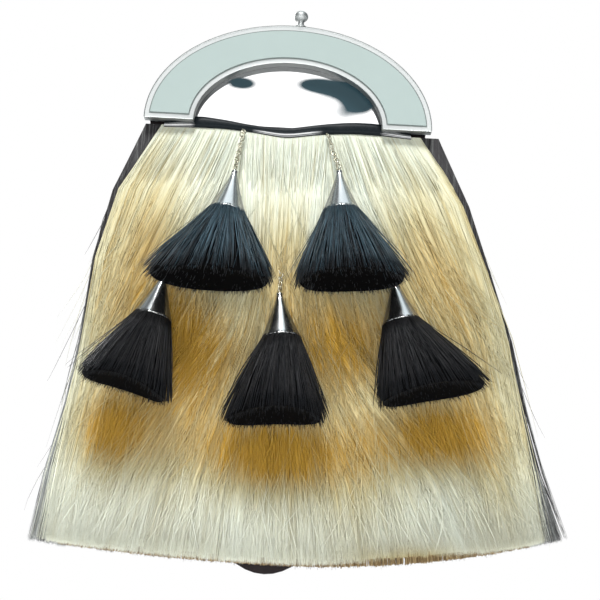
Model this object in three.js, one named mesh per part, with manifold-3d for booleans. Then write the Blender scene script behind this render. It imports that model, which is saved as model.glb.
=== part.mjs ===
// A full-dress sporran: an arched metal cantle over a leather pouch, a long horsehair skirt and
// five tassels on chains. Millimetres, +Z up, the front faces -Y and +X is to the right.
// The origin is where the pouch hangs: midway between its strap loops, on the outside of its back.

import * as THREE from 'three';
import { mergeVertices } from 'three/addons/utils/BufferGeometryUtils.js';
import Module from 'manifold-3d';

const wasm = await Module();
wasm.setup();

// ---- Driving dimensions ----

const GAP = 0.3;

// Pouch: a flat bag with an arched top and a long rounded bottom.
const LEATHER = 2;
const POUCH_HALF_WIDTH = 93;
const POUCH_RISE = 66;
const POUCH_DROP = 296;
const POUCH_DEPTH = 18;
const MOUTH = { halfWidth: 46, bottom: 10, top: 34 };
const FLAP = { halfWidth: 58, top: 48, bottom: -84, corner: 26 };
const STUD = { z: -66, radius: 6, height: 4 };
const LOOP = { x: 71, width: 16, inside: 28, depth: 7, foot: 10, z: 2 };

// Cantle: a half-elliptical band with a raised rim round a flat inlay.
const CANTLE = { halfWidth: 96.5, rise: 69.5, insideHalfWidth: 63, insideRise: 43, depth: 9.4, front: -30 };
const RIM = { outer: 3.4, inner: 4, foot: 4, recess: 1.6 };
const KNOB = { x: 5, radius: 4.8, height: 7.8, neck: 2.2, neckHeight: 3.8, flare: 4.2 };

// Yoke: a wavy strip of patent leather across the top of the hair.
const YOKE_DEPTH = 3;
const YOKE_ROWS = [
  // x, bottom, top
  [-83, -4.5, -0.8],
  [-62, -3.8, 5.2],
  [-42, -3.6, 3.2],
  [-24, -5.2, 0.2],
  [-1, -8.2, -1],
  [23, -4.4, 3.4],
  [42, -2.6, 6],
  [63, -3, 6],
  [83, -4.5, -0.8],
];

// Hair skirt: the outer form of each layer, from the yoke down. Left and right are its edges,
// front is how far its middle stands in front of the pouch's back.
const HAIR_TOP = -5;
const WHITE_ROWS = [
  // z, left, right, front
  [-5, -82, 86, 25],
  [-22, -92, 100, 26],
  [-40, -104, 113, 28],
  [-85, -116, 128, 33],
  [-130, -121, 144, 37],
  [-178, -125, 155, 40],
  [-205, -129, 159, 41],
  [-235, -132, 166, 42],
  [-284, -137, 176, 43],
];
const DARK_ROWS = [
  // z, left, right, front
  [-5, -85, 88, 20.2],
  [-22, -94, 104, 21],
  [-40, -107, 116, 22],
  [-85, -119, 131, 22],
  [-130, -124, 148, 22],
  [-178, -128, 160, 22],
  [-205, -133, 165, 22],
  [-235, -140, 173, 22],
  [-284, -148, 190, 22],
];
const WHITE_LAYER = { rows: WHITE_ROWS, back: 22.3, edge: 3 };
const DARK_LAYER = { rows: DARK_ROWS, back: 18.3, edge: 1.8 };
const SWEEP = { depth: 9, from: 80, to: 165, startDown: 60, fullDown: 200 };
const HEM = { low: -287, middle: 10, leftLift: 0.00035, rightLift: 0.0008 };

// Tassels: a metal cone on a chain, with a brush of hair below it. Swings are from plumb,
// to the right; the fan is half the brush's spread and the last column is its hair's length.
const CONE = { length: 32.5, radius: 13, tip: 1.9, wall: 1, standOff: 9 };
const BRUSH = { radius: 13.4, stub: 16, fanBack: 1, fanFront: 17, longerAtSides: 0.2 };
const CHAIN_RADIUS = 1.5;
const TASSELS = [
  // name, x and z of the tip, cone swing, hair swing, fan, x of the chain's top, hair length
  ['upper_left', -33, -36, -6, -7, 27.5, -29, 51],
  ['upper_right', 35.5, -32, 5, 9, 22.5, 27, 51],
  ['lower_middle', 1, -118, 5, -1, 18.5, 2, 53],
  ['lower_left', -74, -108, -10, -16, 17, -58, 48],
  ['lower_right', 74, -104, 11, 25, 23, 58, 49],
];

// ---- Materials ----

const material = (color, roughness, metalness) =>
  new THREE.MeshStandardMaterial({ color, roughness, metalness });

const LOOK = {
  chrome: () => material(0xe6e8e8, 0.12, 1),
  inlay: () => material(0xc8d9d4, 0.35, 0.4),
  patent: () => material(0x0b0c0d, 0.08, 0),
  leather: () => material(0x171513, 0.55, 0),
  whiteHair: () => material(0xe0d9b8, 0.6, 0),
  darkHair: () => material(0x2a2826, 0.6, 0),
  blackHair: () => material(0x14171d, 0.5, 0),
};

const group = new THREE.Group();

function addPiece(name, geometry, look) {
  const mesh = new THREE.Mesh(geometry, look());
  mesh.name = name;
  group.add(mesh);
}

// ---- Solids ----

function closedCopy(geometry) {
  const plain = geometry.clone();
  plain.deleteAttribute('normal');
  plain.deleteAttribute('uv');
  return mergeVertices(plain, 1e-4);
}

function toSolid(geometry) {
  const merged = closedCopy(geometry);
  return new wasm.Manifold(new wasm.Mesh({
    numProp: 3,
    vertProperties: new Float32Array(merged.attributes.position.array),
    triVerts: new Uint32Array(merged.index.array),
  }));
}

function toGeometry(solid) {
  const mesh = solid.getMesh();
  const geometry = new THREE.BufferGeometry();
  geometry.setAttribute('position', new THREE.BufferAttribute(mesh.vertProperties, 3));
  geometry.setIndex(new THREE.BufferAttribute(mesh.triVerts, 1));
  geometry.computeVertexNormals();
  return geometry;
}

function without(geometry, ...cutters) {
  const solid = cutters.reduce((left, cutter) => left.subtract(toSolid(cutter)), toSolid(geometry));
  return toGeometry(solid);
}

// A flat piece whose outline is drawn in x and z, from y = back forward by its thickness.
function plate(shape, back, thickness, curveSegments = 24) {
  const geometry = new THREE.ExtrudeGeometry(shape, { depth: thickness, bevelEnabled: false, curveSegments });
  geometry.rotateX(Math.PI / 2);
  geometry.translate(0, back, 0);
  return geometry;
}

// Moves each point of a geometry to where the function puts it.
function warp(geometry, place) {
  const position = geometry.attributes.position;
  const point = new THREE.Vector3();
  for (let i = 0; i < position.count; i += 1) {
    point.fromBufferAttribute(position, i);
    const moved = place(point);
    position.setXYZ(i, moved.x, moved.y, moved.z);
  }
  return geometry;
}

const lerp = THREE.MathUtils.lerp;
const radians = THREE.MathUtils.degToRad;

// The value of one column of a table at a height, between the rows above and below it.
function atHeight(rows, column, z) {
  const below = rows.findIndex((row) => row[0] <= z);
  if (below <= 0) {
    return rows[below === 0 ? 0 : rows.length - 1][column];
  }
  const [a, b] = [rows[below - 1], rows[below]];
  return lerp(a[column], b[column], (z - a[0]) / (b[0] - a[0]));
}

// ---- Pouch ----

// Half of the arched top and half of the long bottom, grown or shrunk by an offset.
function pouchShape(offset) {
  const shape = new THREE.Shape();
  const half = POUCH_HALF_WIDTH + offset;
  shape.absellipse(0, 0, half, POUCH_RISE + offset, 0, Math.PI);
  shape.absellipse(0, 0, half, POUCH_DROP + offset, Math.PI, 2 * Math.PI);
  return shape;
}

function roundedPath(path, left, right, bottom, top, radius) {
  path.moveTo(left + radius, bottom);
  path.lineTo(right - radius, bottom);
  path.absarc(right - radius, bottom + radius, radius, -Math.PI / 2, 0);
  path.lineTo(right, top - radius);
  path.absarc(right - radius, top - radius, radius, 0, Math.PI / 2);
  path.lineTo(left + radius, top);
  path.absarc(left + radius, top - radius, radius, Math.PI / 2, Math.PI);
  path.lineTo(left, bottom + radius);
  path.absarc(left + radius, bottom + radius, radius, Math.PI, 1.5 * Math.PI);
  return path;
}

const backShape = pouchShape(0);
backShape.holes.push(roundedPath(new THREE.Path(), -MOUTH.halfWidth, MOUTH.halfWidth, MOUTH.bottom, MOUTH.top, 5));
addPiece('pouch_back', plate(backShape, 0, LEATHER), LOOK.leather);
addPiece('pouch_front', plate(pouchShape(0), LEATHER - POUCH_DEPTH, LEATHER), LOOK.leather);

const gussetShape = pouchShape(0);
gussetShape.holes.push(new THREE.Path(pouchShape(-LEATHER).getPoints(24)));
const gussetDepth = POUCH_DEPTH - 2 * (LEATHER + GAP);
addPiece('pouch_gusset', plate(gussetShape, -LEATHER - GAP, gussetDepth), LOOK.leather);

// The flap is sewn above the mouth and hangs over it.
const flapShape = new THREE.Shape();
flapShape.moveTo(-FLAP.halfWidth, FLAP.top);
flapShape.lineTo(-FLAP.halfWidth, FLAP.bottom + FLAP.corner);
flapShape.absarc(-FLAP.halfWidth + FLAP.corner, FLAP.bottom + FLAP.corner, FLAP.corner, Math.PI, 1.5 * Math.PI);
flapShape.absarc(FLAP.halfWidth - FLAP.corner, FLAP.bottom + FLAP.corner, FLAP.corner, 1.5 * Math.PI, 2 * Math.PI);
flapShape.lineTo(FLAP.halfWidth, FLAP.top);
addPiece('pouch_flap', plate(flapShape, GAP + LEATHER, LEATHER, 8), LOOK.leather);

const studProfile = [[0, 0], [3, 0], [3, 1.2], [STUD.radius, 1.6], [STUD.radius, 2.4], [4, 3.6], [0, STUD.height]];
const stud = new THREE.LatheGeometry(studProfile.map(([x, y]) => new THREE.Vector2(x, y)), 20);
stud.translate(0, 2 * GAP + LEATHER, 0);
stud.translate(0, 0, STUD.z);
addPiece('flap_stud', stud, LOOK.chrome);

// Strap loops: a leather bridge sewn to the back by its two feet, drawn in y and z.
function strapLoop() {
  const out = LOOP.depth + LEATHER;
  const half = LOOP.inside / 2;
  const shape = new THREE.Shape();
  shape.moveTo(0, -half - LOOP.foot);
  shape.lineTo(LEATHER, -half - LOOP.foot);
  shape.lineTo(LEATHER, -half - LEATHER);
  shape.lineTo(out, -half + 2);
  shape.lineTo(out, half - 2);
  shape.lineTo(LEATHER, half + LEATHER);
  shape.lineTo(LEATHER, half + LOOP.foot);
  shape.lineTo(0, half + LOOP.foot);
  shape.lineTo(0, half);
  shape.lineTo(out - LEATHER, half - 3.2);
  shape.lineTo(out - LEATHER, -half + 3.2);
  shape.lineTo(0, -half);
  const loop = new THREE.ExtrudeGeometry(shape, { depth: LOOP.width, bevelEnabled: false });
  loop.translate(0, 0, -LOOP.width / 2);
  const [outward, upward, sideways] = [[0, 1, 0], [0, 0, 1], [1, 0, 0]].map((v) => new THREE.Vector3(...v));
  return loop.applyMatrix4(new THREE.Matrix4().makeBasis(outward, upward, sideways));
}

for (const [side, sign] of [['left', -1], ['right', 1]]) {
  const loop = strapLoop();
  loop.translate(sign * LOOP.x, GAP, LOOP.z);
  addPiece(`strap_loop_${side}`, loop, LOOK.leather);
}

// ---- Cantle ----

// A half-elliptical band standing on its two feet.
function bandShape(outerHalf, outerRise, innerHalf, innerRise, foot) {
  const cut = (half, rise) => Math.asin(foot / rise);
  const shape = new THREE.Shape();
  const outer = cut(outerHalf, outerRise);
  const inner = cut(innerHalf, innerRise);
  shape.absellipse(0, 0, outerHalf, outerRise, outer, Math.PI - outer);
  shape.absellipse(0, 0, innerHalf, innerRise, Math.PI - inner, inner, true);
  return shape;
}

const band = bandShape(CANTLE.halfWidth, CANTLE.rise, CANTLE.insideHalfWidth, CANTLE.insideRise, 0);
const recessShape = bandShape(
  CANTLE.halfWidth - RIM.outer,
  CANTLE.rise - RIM.outer,
  CANTLE.insideHalfWidth + RIM.inner,
  CANTLE.insideRise + RIM.inner,
  RIM.foot,
);
const inlayShape = bandShape(
  CANTLE.halfWidth - RIM.outer - GAP,
  CANTLE.rise - RIM.outer - GAP,
  CANTLE.insideHalfWidth + RIM.inner + GAP,
  CANTLE.insideRise + RIM.inner + GAP,
  RIM.foot + GAP,
);
const recessBack = CANTLE.front + RIM.recess;
const bandPlate = plate(band, CANTLE.front + CANTLE.depth, CANTLE.depth, 40);
const recess = plate(recessShape, recessBack, 2 * RIM.recess, 40);
addPiece('cantle_inlay', plate(inlayShape, recessBack - GAP, RIM.recess - 2 * GAP, 40), LOOK.inlay);

// Ball knob on a flared neck, standing on the top of the cantle.
const knobSide = [];
for (let step = 0; step <= 8; step += 1) {
  const angle = -0.34 * Math.PI + (step / 8) * 0.84 * Math.PI;
  knobSide.push([KNOB.radius * Math.cos(angle), KNOB.height / 2 * (1 + Math.sin(angle))]);
}
knobSide[8][0] = 0;
const knobProfile = [[0, 0], [KNOB.flare, 0], [KNOB.neck + 0.6, 1], [KNOB.neck, KNOB.neckHeight]]
  .concat(knobSide.map(([r, h]) => [r, h + KNOB.neckHeight]));
const knob = new THREE.LatheGeometry(knobProfile.map(([x, y]) => new THREE.Vector2(x, y)), 20);
knob.rotateX(Math.PI / 2);
knob.translate(KNOB.x, CANTLE.front + CANTLE.depth / 2 - 0.5, CANTLE.rise + GAP);
addPiece('finial_knob', knob, LOOK.chrome);

// Patent leather panel, behind the band and across its opening.
const panelShape = new THREE.Shape();
panelShape.absellipse(0, 0, POUCH_HALF_WIDTH, POUCH_RISE, 0, Math.PI);
const panelBack = -POUCH_DEPTH - GAP;
addPiece('front_panel', plate(panelShape, panelBack, LEATHER), LOOK.patent);

// ---- Yoke ----

const yokeShape = new THREE.Shape();
const yokeEdge = (column) => YOKE_ROWS.map((row) => new THREE.Vector2(row[0], row[column]));
yokeShape.moveTo(YOKE_ROWS[0][0], YOKE_ROWS[0][1]);
yokeShape.splineThru(yokeEdge(1).slice(1));
yokeShape.lineTo(YOKE_ROWS[8][0], YOKE_ROWS[8][2]);
yokeShape.splineThru(yokeEdge(2).reverse().slice(1));
const yokeBack = panelBack - LEATHER - GAP;
addPiece('yoke', plate(yokeShape, yokeBack, YOKE_DEPTH, 4), LOOK.patent);

// The cantle's feet are cut away behind, where the yoke runs under them.
const yokeRoom = plate(yokeShape, yokeBack + 2 * GAP, YOKE_DEPTH + 3 * GAP, 4);
yokeRoom.translate(0, 0, GAP);
addPiece('cantle_frame', without(bandPlate, recess, yokeRoom), LOOK.chrome);

// ---- Hair skirt ----

// Where the hair ends: a shallow curve that rises towards the sides.
function hemAt(x) {
  const away = x - HEM.middle;
  const lift = away < 0 ? HEM.leftLift : HEM.rightLift;
  return HEM.low + lift * away * away;
}

// How far the layer's front stands forward, at a share of its half-width from the middle.
function layerFront(layer, across, z) {
  const crown = 1 - Math.abs(across) ** 2.6;
  return layer.back + layer.edge + (atHeight(layer.rows, 3, z) - layer.back - layer.edge) * crown;
}

// The hair past the pouch's sides sweeps back round it.
function sweepBack(x, z) {
  const far = THREE.MathUtils.smoothstep(Math.abs(x - HEM.middle), SWEEP.from, SWEEP.to);
  const down = THREE.MathUtils.smoothstep(-z, SWEEP.startDown, SWEEP.fullDown);
  return SWEEP.depth * far * down;
}

function shareAcross(layer, x, z) {
  const [left, right] = [atHeight(layer.rows, 1, z), atHeight(layer.rows, 2, z)];
  return THREE.MathUtils.clamp((2 * x - left - right) / (right - left), -1, 1);
}

function hairFront(x, z) {
  const across = shareAcross(WHITE_LAYER, x, z);
  return sweepBack(x, z) - layerFront(WHITE_LAYER, across, z);
}

function hairLayer(layer) {
  const around = new THREE.CylinderGeometry(1, 1, 1, 36, 12);
  return warp(around, (p) => {
    const down = 0.5 - p.y;
    const tableZ = lerp(HAIR_TOP, layer.rows[layer.rows.length - 1][0], down);
    const left = atHeight(layer.rows, 1, tableZ);
    const right = atHeight(layer.rows, 2, tableZ);
    const across = Math.sign(p.x) * Math.abs(p.x) ** 0.85;
    const x = lerp(left, right, (across + 1) / 2);
    const front = layerFront(layer, across, tableZ);
    const depth = lerp(layer.back, front, Math.sqrt(Math.max(0, p.z)));
    const z = lerp(HAIR_TOP, hemAt(x), down);
    return new THREE.Vector3(x, sweepBack(x, z) - depth, z);
  });
}

const yokeCutter = plate(yokeShape, yokeBack + GAP, 4 * YOKE_DEPTH, 4);
yokeCutter.translate(0, 0, -GAP);
addPiece('dark_hair', hairLayer(DARK_LAYER), LOOK.darkHair);

// ---- Tassels ----

function coneProfile(grow) {
  const { length, radius, tip, wall } = CONE;
  return [
    [0, -grow],
    [tip + grow, 0.3 - grow],
    [tip + grow, 2],
    [radius * 0.38 + grow, length * 0.38],
    [radius * 0.7 + grow, length * 0.72],
    [radius + grow, length + grow],
    [radius - wall, length + grow],
    [radius * 0.7 - wall, length * 0.72],
    [radius * 0.38 - wall, length * 0.38],
    [0, length * 0.3],
  ];
}

// A tassel's own frame: its tip at the origin and its axis along local -Z.
function tasselPlace([, x, z, swing]) {
  const tip = new THREE.Vector3(x, hairFront(x, z) - CONE.standOff, z);
  const plumb = new THREE.Vector3(Math.sin(radians(swing)), 0, -Math.cos(radians(swing)));
  const foot = tip.clone().addScaledVector(plumb, CONE.length);
  foot.y = hairFront(foot.x, foot.z) - CONE.radius - 2 * GAP;
  const axis = foot.sub(tip).normalize();
  const side = new THREE.Vector3(0, -1, 0).cross(axis).normalize();
  const forward = axis.clone().cross(side);
  return new THREE.Matrix4().makeBasis(side, forward.negate(), axis.negate()).setPosition(tip);
}

function cone(place, grow) {
  const points = coneProfile(grow).map(([r, down]) => new THREE.Vector2(r, -down));
  const shell = new THREE.LatheGeometry(points.reverse(), 22);
  shell.rotateX(Math.PI / 2);
  return shell.applyMatrix4(place);
}

// The brush starts as a stub inside the cone and fans out to a domed end below it.
function brush([, , , , swing, fan, , length], coneSwing, place) {
  const { radius, stub, fanBack, fanFront, longerAtSides } = BRUSH;
  const rows = [
    // distance below the rim, radius
    [-stub, 4.5],
    [-0.6, radius - 2.6],
    [GAP, radius - 2.2],
    [GAP, radius],
    [length * 0.2, radius],
    [length * 0.45, radius],
    [length * 0.72, radius],
    [length, radius],
  ];
  const around = new THREE.CylinderGeometry(1, 1, 1, 22, rows.length - 1);
  return warp(around, (p) => {
    const [below, wide] = rows[Math.round((0.5 - p.y) * (rows.length - 1))];
    const along = Math.max(0, below) * (1 + longerAtSides * p.x ** 2);
    const turn = radians(swing - coneSwing + fan * p.x);
    const pitch = radians(lerp(-fanBack, fanFront, (p.z + 1) / 2));
    const x = p.x * wide + along * Math.sin(turn);
    const y = -p.z * (wide - 0.4) - along * Math.sin(pitch);
    const z = -CONE.length - Math.min(below, 0) - along * Math.cos(turn) * Math.cos(pitch);
    return new THREE.Vector3(x, y, z).applyMatrix4(place);
  });
}

// The chain drops from the yoke to the cone's tip. It leans out to an upper tassel, and to a
// lower one it runs down through the hair.
function chain([name, , , , , , topX], place, grow) {
  const tip = new THREE.Vector3(0, 0, GAP + CHAIN_RADIUS * 0.2).applyMatrix4(place);
  const top = new THREE.Vector3(topX, -26.2, -4.6);
  const buried = name.startsWith('lower');
  const points = [top];
  const steps = buried ? 7 : 1;
  for (let i = 1; i < steps; i += 1) {
    const way = new THREE.Vector3().lerpVectors(top, tip, i / steps * 0.86);
    way.y = hairFront(way.x, way.z) - CHAIN_RADIUS - 2 * GAP;
    points.push(way);
  }
  points.push(tip);
  const route = new THREE.CatmullRomCurve3(points);
  const ring = new THREE.Shape().absarc(0, 0, CHAIN_RADIUS + grow, 0, 2 * Math.PI);
  const count = Math.max(6, Math.round(route.getLength() / (CHAIN_RADIUS * 4.5)));
  return new THREE.ExtrudeGeometry(ring, { steps: count, extrudePath: route, curveSegments: 4, bevelEnabled: false });
}

// Each tassel lies in its own hollow of the hair, clear of the next one's cone and chain.
const made = TASSELS.map((tassel) => {
  const place = tasselPlace(tassel);
  const [name, , , coneSwing] = tassel;
  return {
    name,
    brush: brush(tassel, coneSwing, place),
    cone: cone(place, 0),
    chain: chain(tassel, place, 0),
    room: [cone(place, GAP), chain(tassel, place, GAP)],
  };
});

const whiteHair = without(hairLayer(WHITE_LAYER), yokeCutter, ...made.flatMap((item) => item.room));
addPiece('white_hair', whiteHair, LOOK.whiteHair);
const hairRoom = hairLayer(WHITE_LAYER);
hairRoom.translate(0, -GAP, 0);

for (const item of made) {
  const others = made.filter((other) => other !== item).flatMap((other) => other.room);
  addPiece(`cone_${item.name}`, item.cone, LOOK.chrome);
  addPiece(`chain_${item.name}`, item.chain, LOOK.chrome);
  addPiece(`tassel_${item.name}`, without(item.brush, hairRoom, ...others), LOOK.blackHair);
}

export default group;
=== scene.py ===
"""Dresses a packed full-dress sporran: chromed cantle, leather pouch, horsehair skirt and tassels.

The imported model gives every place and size; this file gives each piece its fine form and finish.
Sizes are in metres, +Z up, and the front faces -Y.
"""

import math

import bmesh
import bpy
import numpy as np
from mathutils import Matrix, Vector


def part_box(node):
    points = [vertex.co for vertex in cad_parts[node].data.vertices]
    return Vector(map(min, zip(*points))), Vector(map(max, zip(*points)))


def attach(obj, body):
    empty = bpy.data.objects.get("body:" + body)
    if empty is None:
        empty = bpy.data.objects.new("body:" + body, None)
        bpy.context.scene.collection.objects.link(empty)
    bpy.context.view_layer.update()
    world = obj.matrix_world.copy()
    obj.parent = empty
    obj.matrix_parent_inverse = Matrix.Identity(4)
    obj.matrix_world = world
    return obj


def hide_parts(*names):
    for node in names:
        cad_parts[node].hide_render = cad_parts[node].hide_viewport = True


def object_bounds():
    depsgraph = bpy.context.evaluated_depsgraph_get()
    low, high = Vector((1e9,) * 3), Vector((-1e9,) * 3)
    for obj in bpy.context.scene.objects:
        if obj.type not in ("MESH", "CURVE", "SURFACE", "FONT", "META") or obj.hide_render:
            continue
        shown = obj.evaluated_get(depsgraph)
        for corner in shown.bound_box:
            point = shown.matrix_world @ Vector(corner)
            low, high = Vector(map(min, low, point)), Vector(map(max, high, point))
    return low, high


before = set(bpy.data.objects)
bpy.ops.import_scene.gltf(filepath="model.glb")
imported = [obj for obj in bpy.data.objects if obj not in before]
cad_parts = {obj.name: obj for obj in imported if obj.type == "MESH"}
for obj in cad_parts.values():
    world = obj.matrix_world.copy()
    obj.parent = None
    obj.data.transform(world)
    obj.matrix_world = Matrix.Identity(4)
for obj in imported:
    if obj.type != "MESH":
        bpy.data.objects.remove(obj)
CAD_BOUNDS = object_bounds()

bl_info = {
    "name": "Full-dress sporran",
    "version": (1, 0, 0),
    "blender": (4, 5, 0),
    "location": "View3D > Sidebar > Sporran",
    "description": "Builds the visible pieces of a horsehair sporran over its packed frame",
    "category": "Object",
}

MM = 0.001
TASSELS = ("upper_left", "upper_right", "lower_middle", "lower_left", "lower_right")


# ---- Settings ----


class CantleSettings(bpy.types.PropertyGroup):
    """Sizes and colours of the metal cantle."""

    rim: bpy.props.FloatProperty(
        name="Rim width",
        description="Width of the raised rim round the inlay",
        default=3.1 * MM,
        unit="LENGTH",
    )
    recess: bpy.props.FloatProperty(
        name="Recess",
        description="How far the inlay lies below the rim",
        default=1.0 * MM,
        unit="LENGTH",
    )
    metal: bpy.props.FloatVectorProperty(
        name="Metal",
        description="Colour of the plated metal",
        default=(0.47, 0.485, 0.48),
        subtype="COLOR",
    )
    inlay: bpy.props.FloatVectorProperty(
        name="Inlay",
        description="Colour of the flat inlay",
        default=(0.318, 0.384, 0.366),
        subtype="COLOR",
    )


class LeatherSettings(bpy.types.PropertyGroup):
    """Colours and stitching of the leather."""

    leather: bpy.props.FloatVectorProperty(
        name="Leather",
        description="Colour of the grained leather",
        default=(0.0085, 0.006, 0.0065),
        subtype="COLOR",
    )
    patent: bpy.props.FloatVectorProperty(
        name="Patent leather",
        description="Colour under the gloss",
        default=(0.006, 0.008, 0.010),
        subtype="COLOR",
    )
    stitch_pitch: bpy.props.FloatProperty(
        name="Stitch pitch",
        description="Distance from one stitch to the next",
        default=4.2 * MM,
        unit="LENGTH",
    )


class HairSettings(bpy.types.PropertyGroup):
    """Amounts, widths and colours of the hair."""

    skirt_locks: bpy.props.IntProperty(
        name="Skirt strands",
        description="Strands in each of the white skirt's layers",
        default=4200,
    )
    dark_locks: bpy.props.IntProperty(
        name="Dark strands",
        description="Strands in the dark layer behind",
        default=1200,
    )
    grey_locks: bpy.props.IntProperty(
        name="Grey strands",
        description="Strands at the sides, dark above and grey towards the hem",
        default=800,
    )
    back_locks: bpy.props.IntProperty(
        name="Back strands",
        description="Strands over the back of the dark layer",
        default=1000,
    )
    hem_ends: bpy.props.IntProperty(
        name="Hem ends",
        description="Brown ends of the inner hair along the hem",
        default=1800,
    )
    strays: bpy.props.IntProperty(
        name="Stray hairs",
        description="Single hairs that stand out past the sides, of each colour",
        default=80,
    )
    loose_hairs: bpy.props.IntProperty(
        name="Loose hairs",
        description="Single hairs across the skirt's front",
        default=1700,
    )
    wisps: bpy.props.IntProperty(
        name="Tassel wisps",
        description="Fine stray hairs over the front of one tassel",
        default=90,
    )
    brush_locks: bpy.props.IntProperty(
        name="Tassel strands",
        description="Strands in each tassel",
        default=980,
    )
    strand: bpy.props.FloatProperty(
        name="Strand width",
        description="Half-width of a skirt strand",
        default=0.33 * MM,
        unit="LENGTH",
    )
    white: bpy.props.FloatVectorProperty(
        name="White hair",
        description="Colour of the clean hair",
        default=(0.735, 0.775, 0.675),
        subtype="COLOR",
    )
    # Painted light: the paler colour towards the hem stands in for the light there.
    painted_hem_light: bpy.props.FloatVectorProperty(
        name="Tips",
        description="Colour of the white hair near the hem",
        default=(0.93, 0.955, 0.83),
        subtype="COLOR",
    )
    straw: bpy.props.FloatVectorProperty(
        name="Straw hair",
        description="Colour of the hair that has begun to yellow",
        default=(0.61, 0.55, 0.33),
        subtype="COLOR",
    )
    # Tan is the colour of yellowed hair and also of the painted shadow under the tassels.
    tan: bpy.props.FloatVectorProperty(
        name="Tan hair",
        description="Colour of the yellowed hair",
        default=(0.50, 0.292, 0.032),
        subtype="COLOR",
    )
    dark: bpy.props.FloatVectorProperty(
        name="Dark hair",
        description="Colour of the layer behind",
        default=(0.012, 0.010, 0.011),
        subtype="COLOR",
    )
    black: bpy.props.FloatVectorProperty(
        name="Tassel hair",
        description="Colour of the tassels",
        default=(0.006, 0.007, 0.009),
        subtype="COLOR",
    )


class StageSettings(bpy.types.PropertyGroup):
    """The camera and the light."""

    distance: bpy.props.FloatProperty(
        name="Distance",
        description="From the camera to the point it looks at",
        default=1.0,
        unit="LENGTH",
    )
    rise: bpy.props.FloatProperty(
        name="Rise",
        description="How steeply the camera looks up",
        default=math.radians(11),
        subtype="ANGLE",
    )
    roll: bpy.props.FloatProperty(
        name="Roll",
        description="How far the camera is turned about its line of sight",
        default=math.radians(3),
        subtype="ANGLE",
    )
    lens: bpy.props.FloatProperty(
        name="Lens",
        description="Focal length in millimetres",
        default=91.6,
    )
    aim: bpy.props.FloatVectorProperty(
        name="Aim",
        description="Where the camera looks, from the middle of the model's box",
        default=(-6.7 * MM, 14 * MM, -11.2 * MM),
        subtype="TRANSLATION",
    )
    overhead: bpy.props.FloatProperty(
        name="Overhead light",
        description="Strength of the wide light from high in front",
        default=2.75,
    )
    front: bpy.props.FloatProperty(
        name="Front light",
        description="Power of the soft light in front",
        default=5.6,
    )
    low: bpy.props.FloatProperty(
        name="Low light",
        description="Power of the soft light near the floor",
        default=15.0,
    )
    behind: bpy.props.FloatProperty(
        name="Light behind",
        description="Power of the soft light behind",
        default=30.0,
    )


def settings(name):
    return getattr(bpy.context.scene, name)


# ---- Shader maths and nodes ----


class Value:
    """A shader socket that does arithmetic: an expression on values adds its Math nodes."""

    def __init__(self, nodes, socket):
        self.nodes = nodes
        self.socket = socket

    def maths(self, operation, *others, clamp=False):
        node = self.nodes.node("ShaderNodeMath", {"operation": operation, "use_clamp": clamp})
        for socket, value in zip(node.inputs, (self, *others)):
            self.nodes.put(socket, value)
        return Value(self.nodes, node.outputs[0])

    def reflected(self, operation, other):
        node = self.nodes.node("ShaderNodeMath", {"operation": operation})
        self.nodes.put(node.inputs[0], other)
        self.nodes.put(node.inputs[1], self)
        return Value(self.nodes, node.outputs[0])

    def __add__(self, other):
        return self.maths("ADD", other)

    def __radd__(self, other):
        return self.maths("ADD", other)

    def __sub__(self, other):
        return self.maths("SUBTRACT", other)

    def __rsub__(self, other):
        return self.reflected("SUBTRACT", other)

    def __mul__(self, other):
        return self.maths("MULTIPLY", other)

    def __rmul__(self, other):
        return self.maths("MULTIPLY", other)

    def __truediv__(self, other):
        return self.maths("DIVIDE", other)

    def __rtruediv__(self, other):
        return self.reflected("DIVIDE", other)

    def __pow__(self, other):
        return self.maths("POWER", other)

    def kept_in_range(self):
        return self.maths("MULTIPLY", 1.0, clamp=True)

    def magnitude(self):
        return self.maths("ABSOLUTE")


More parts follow.
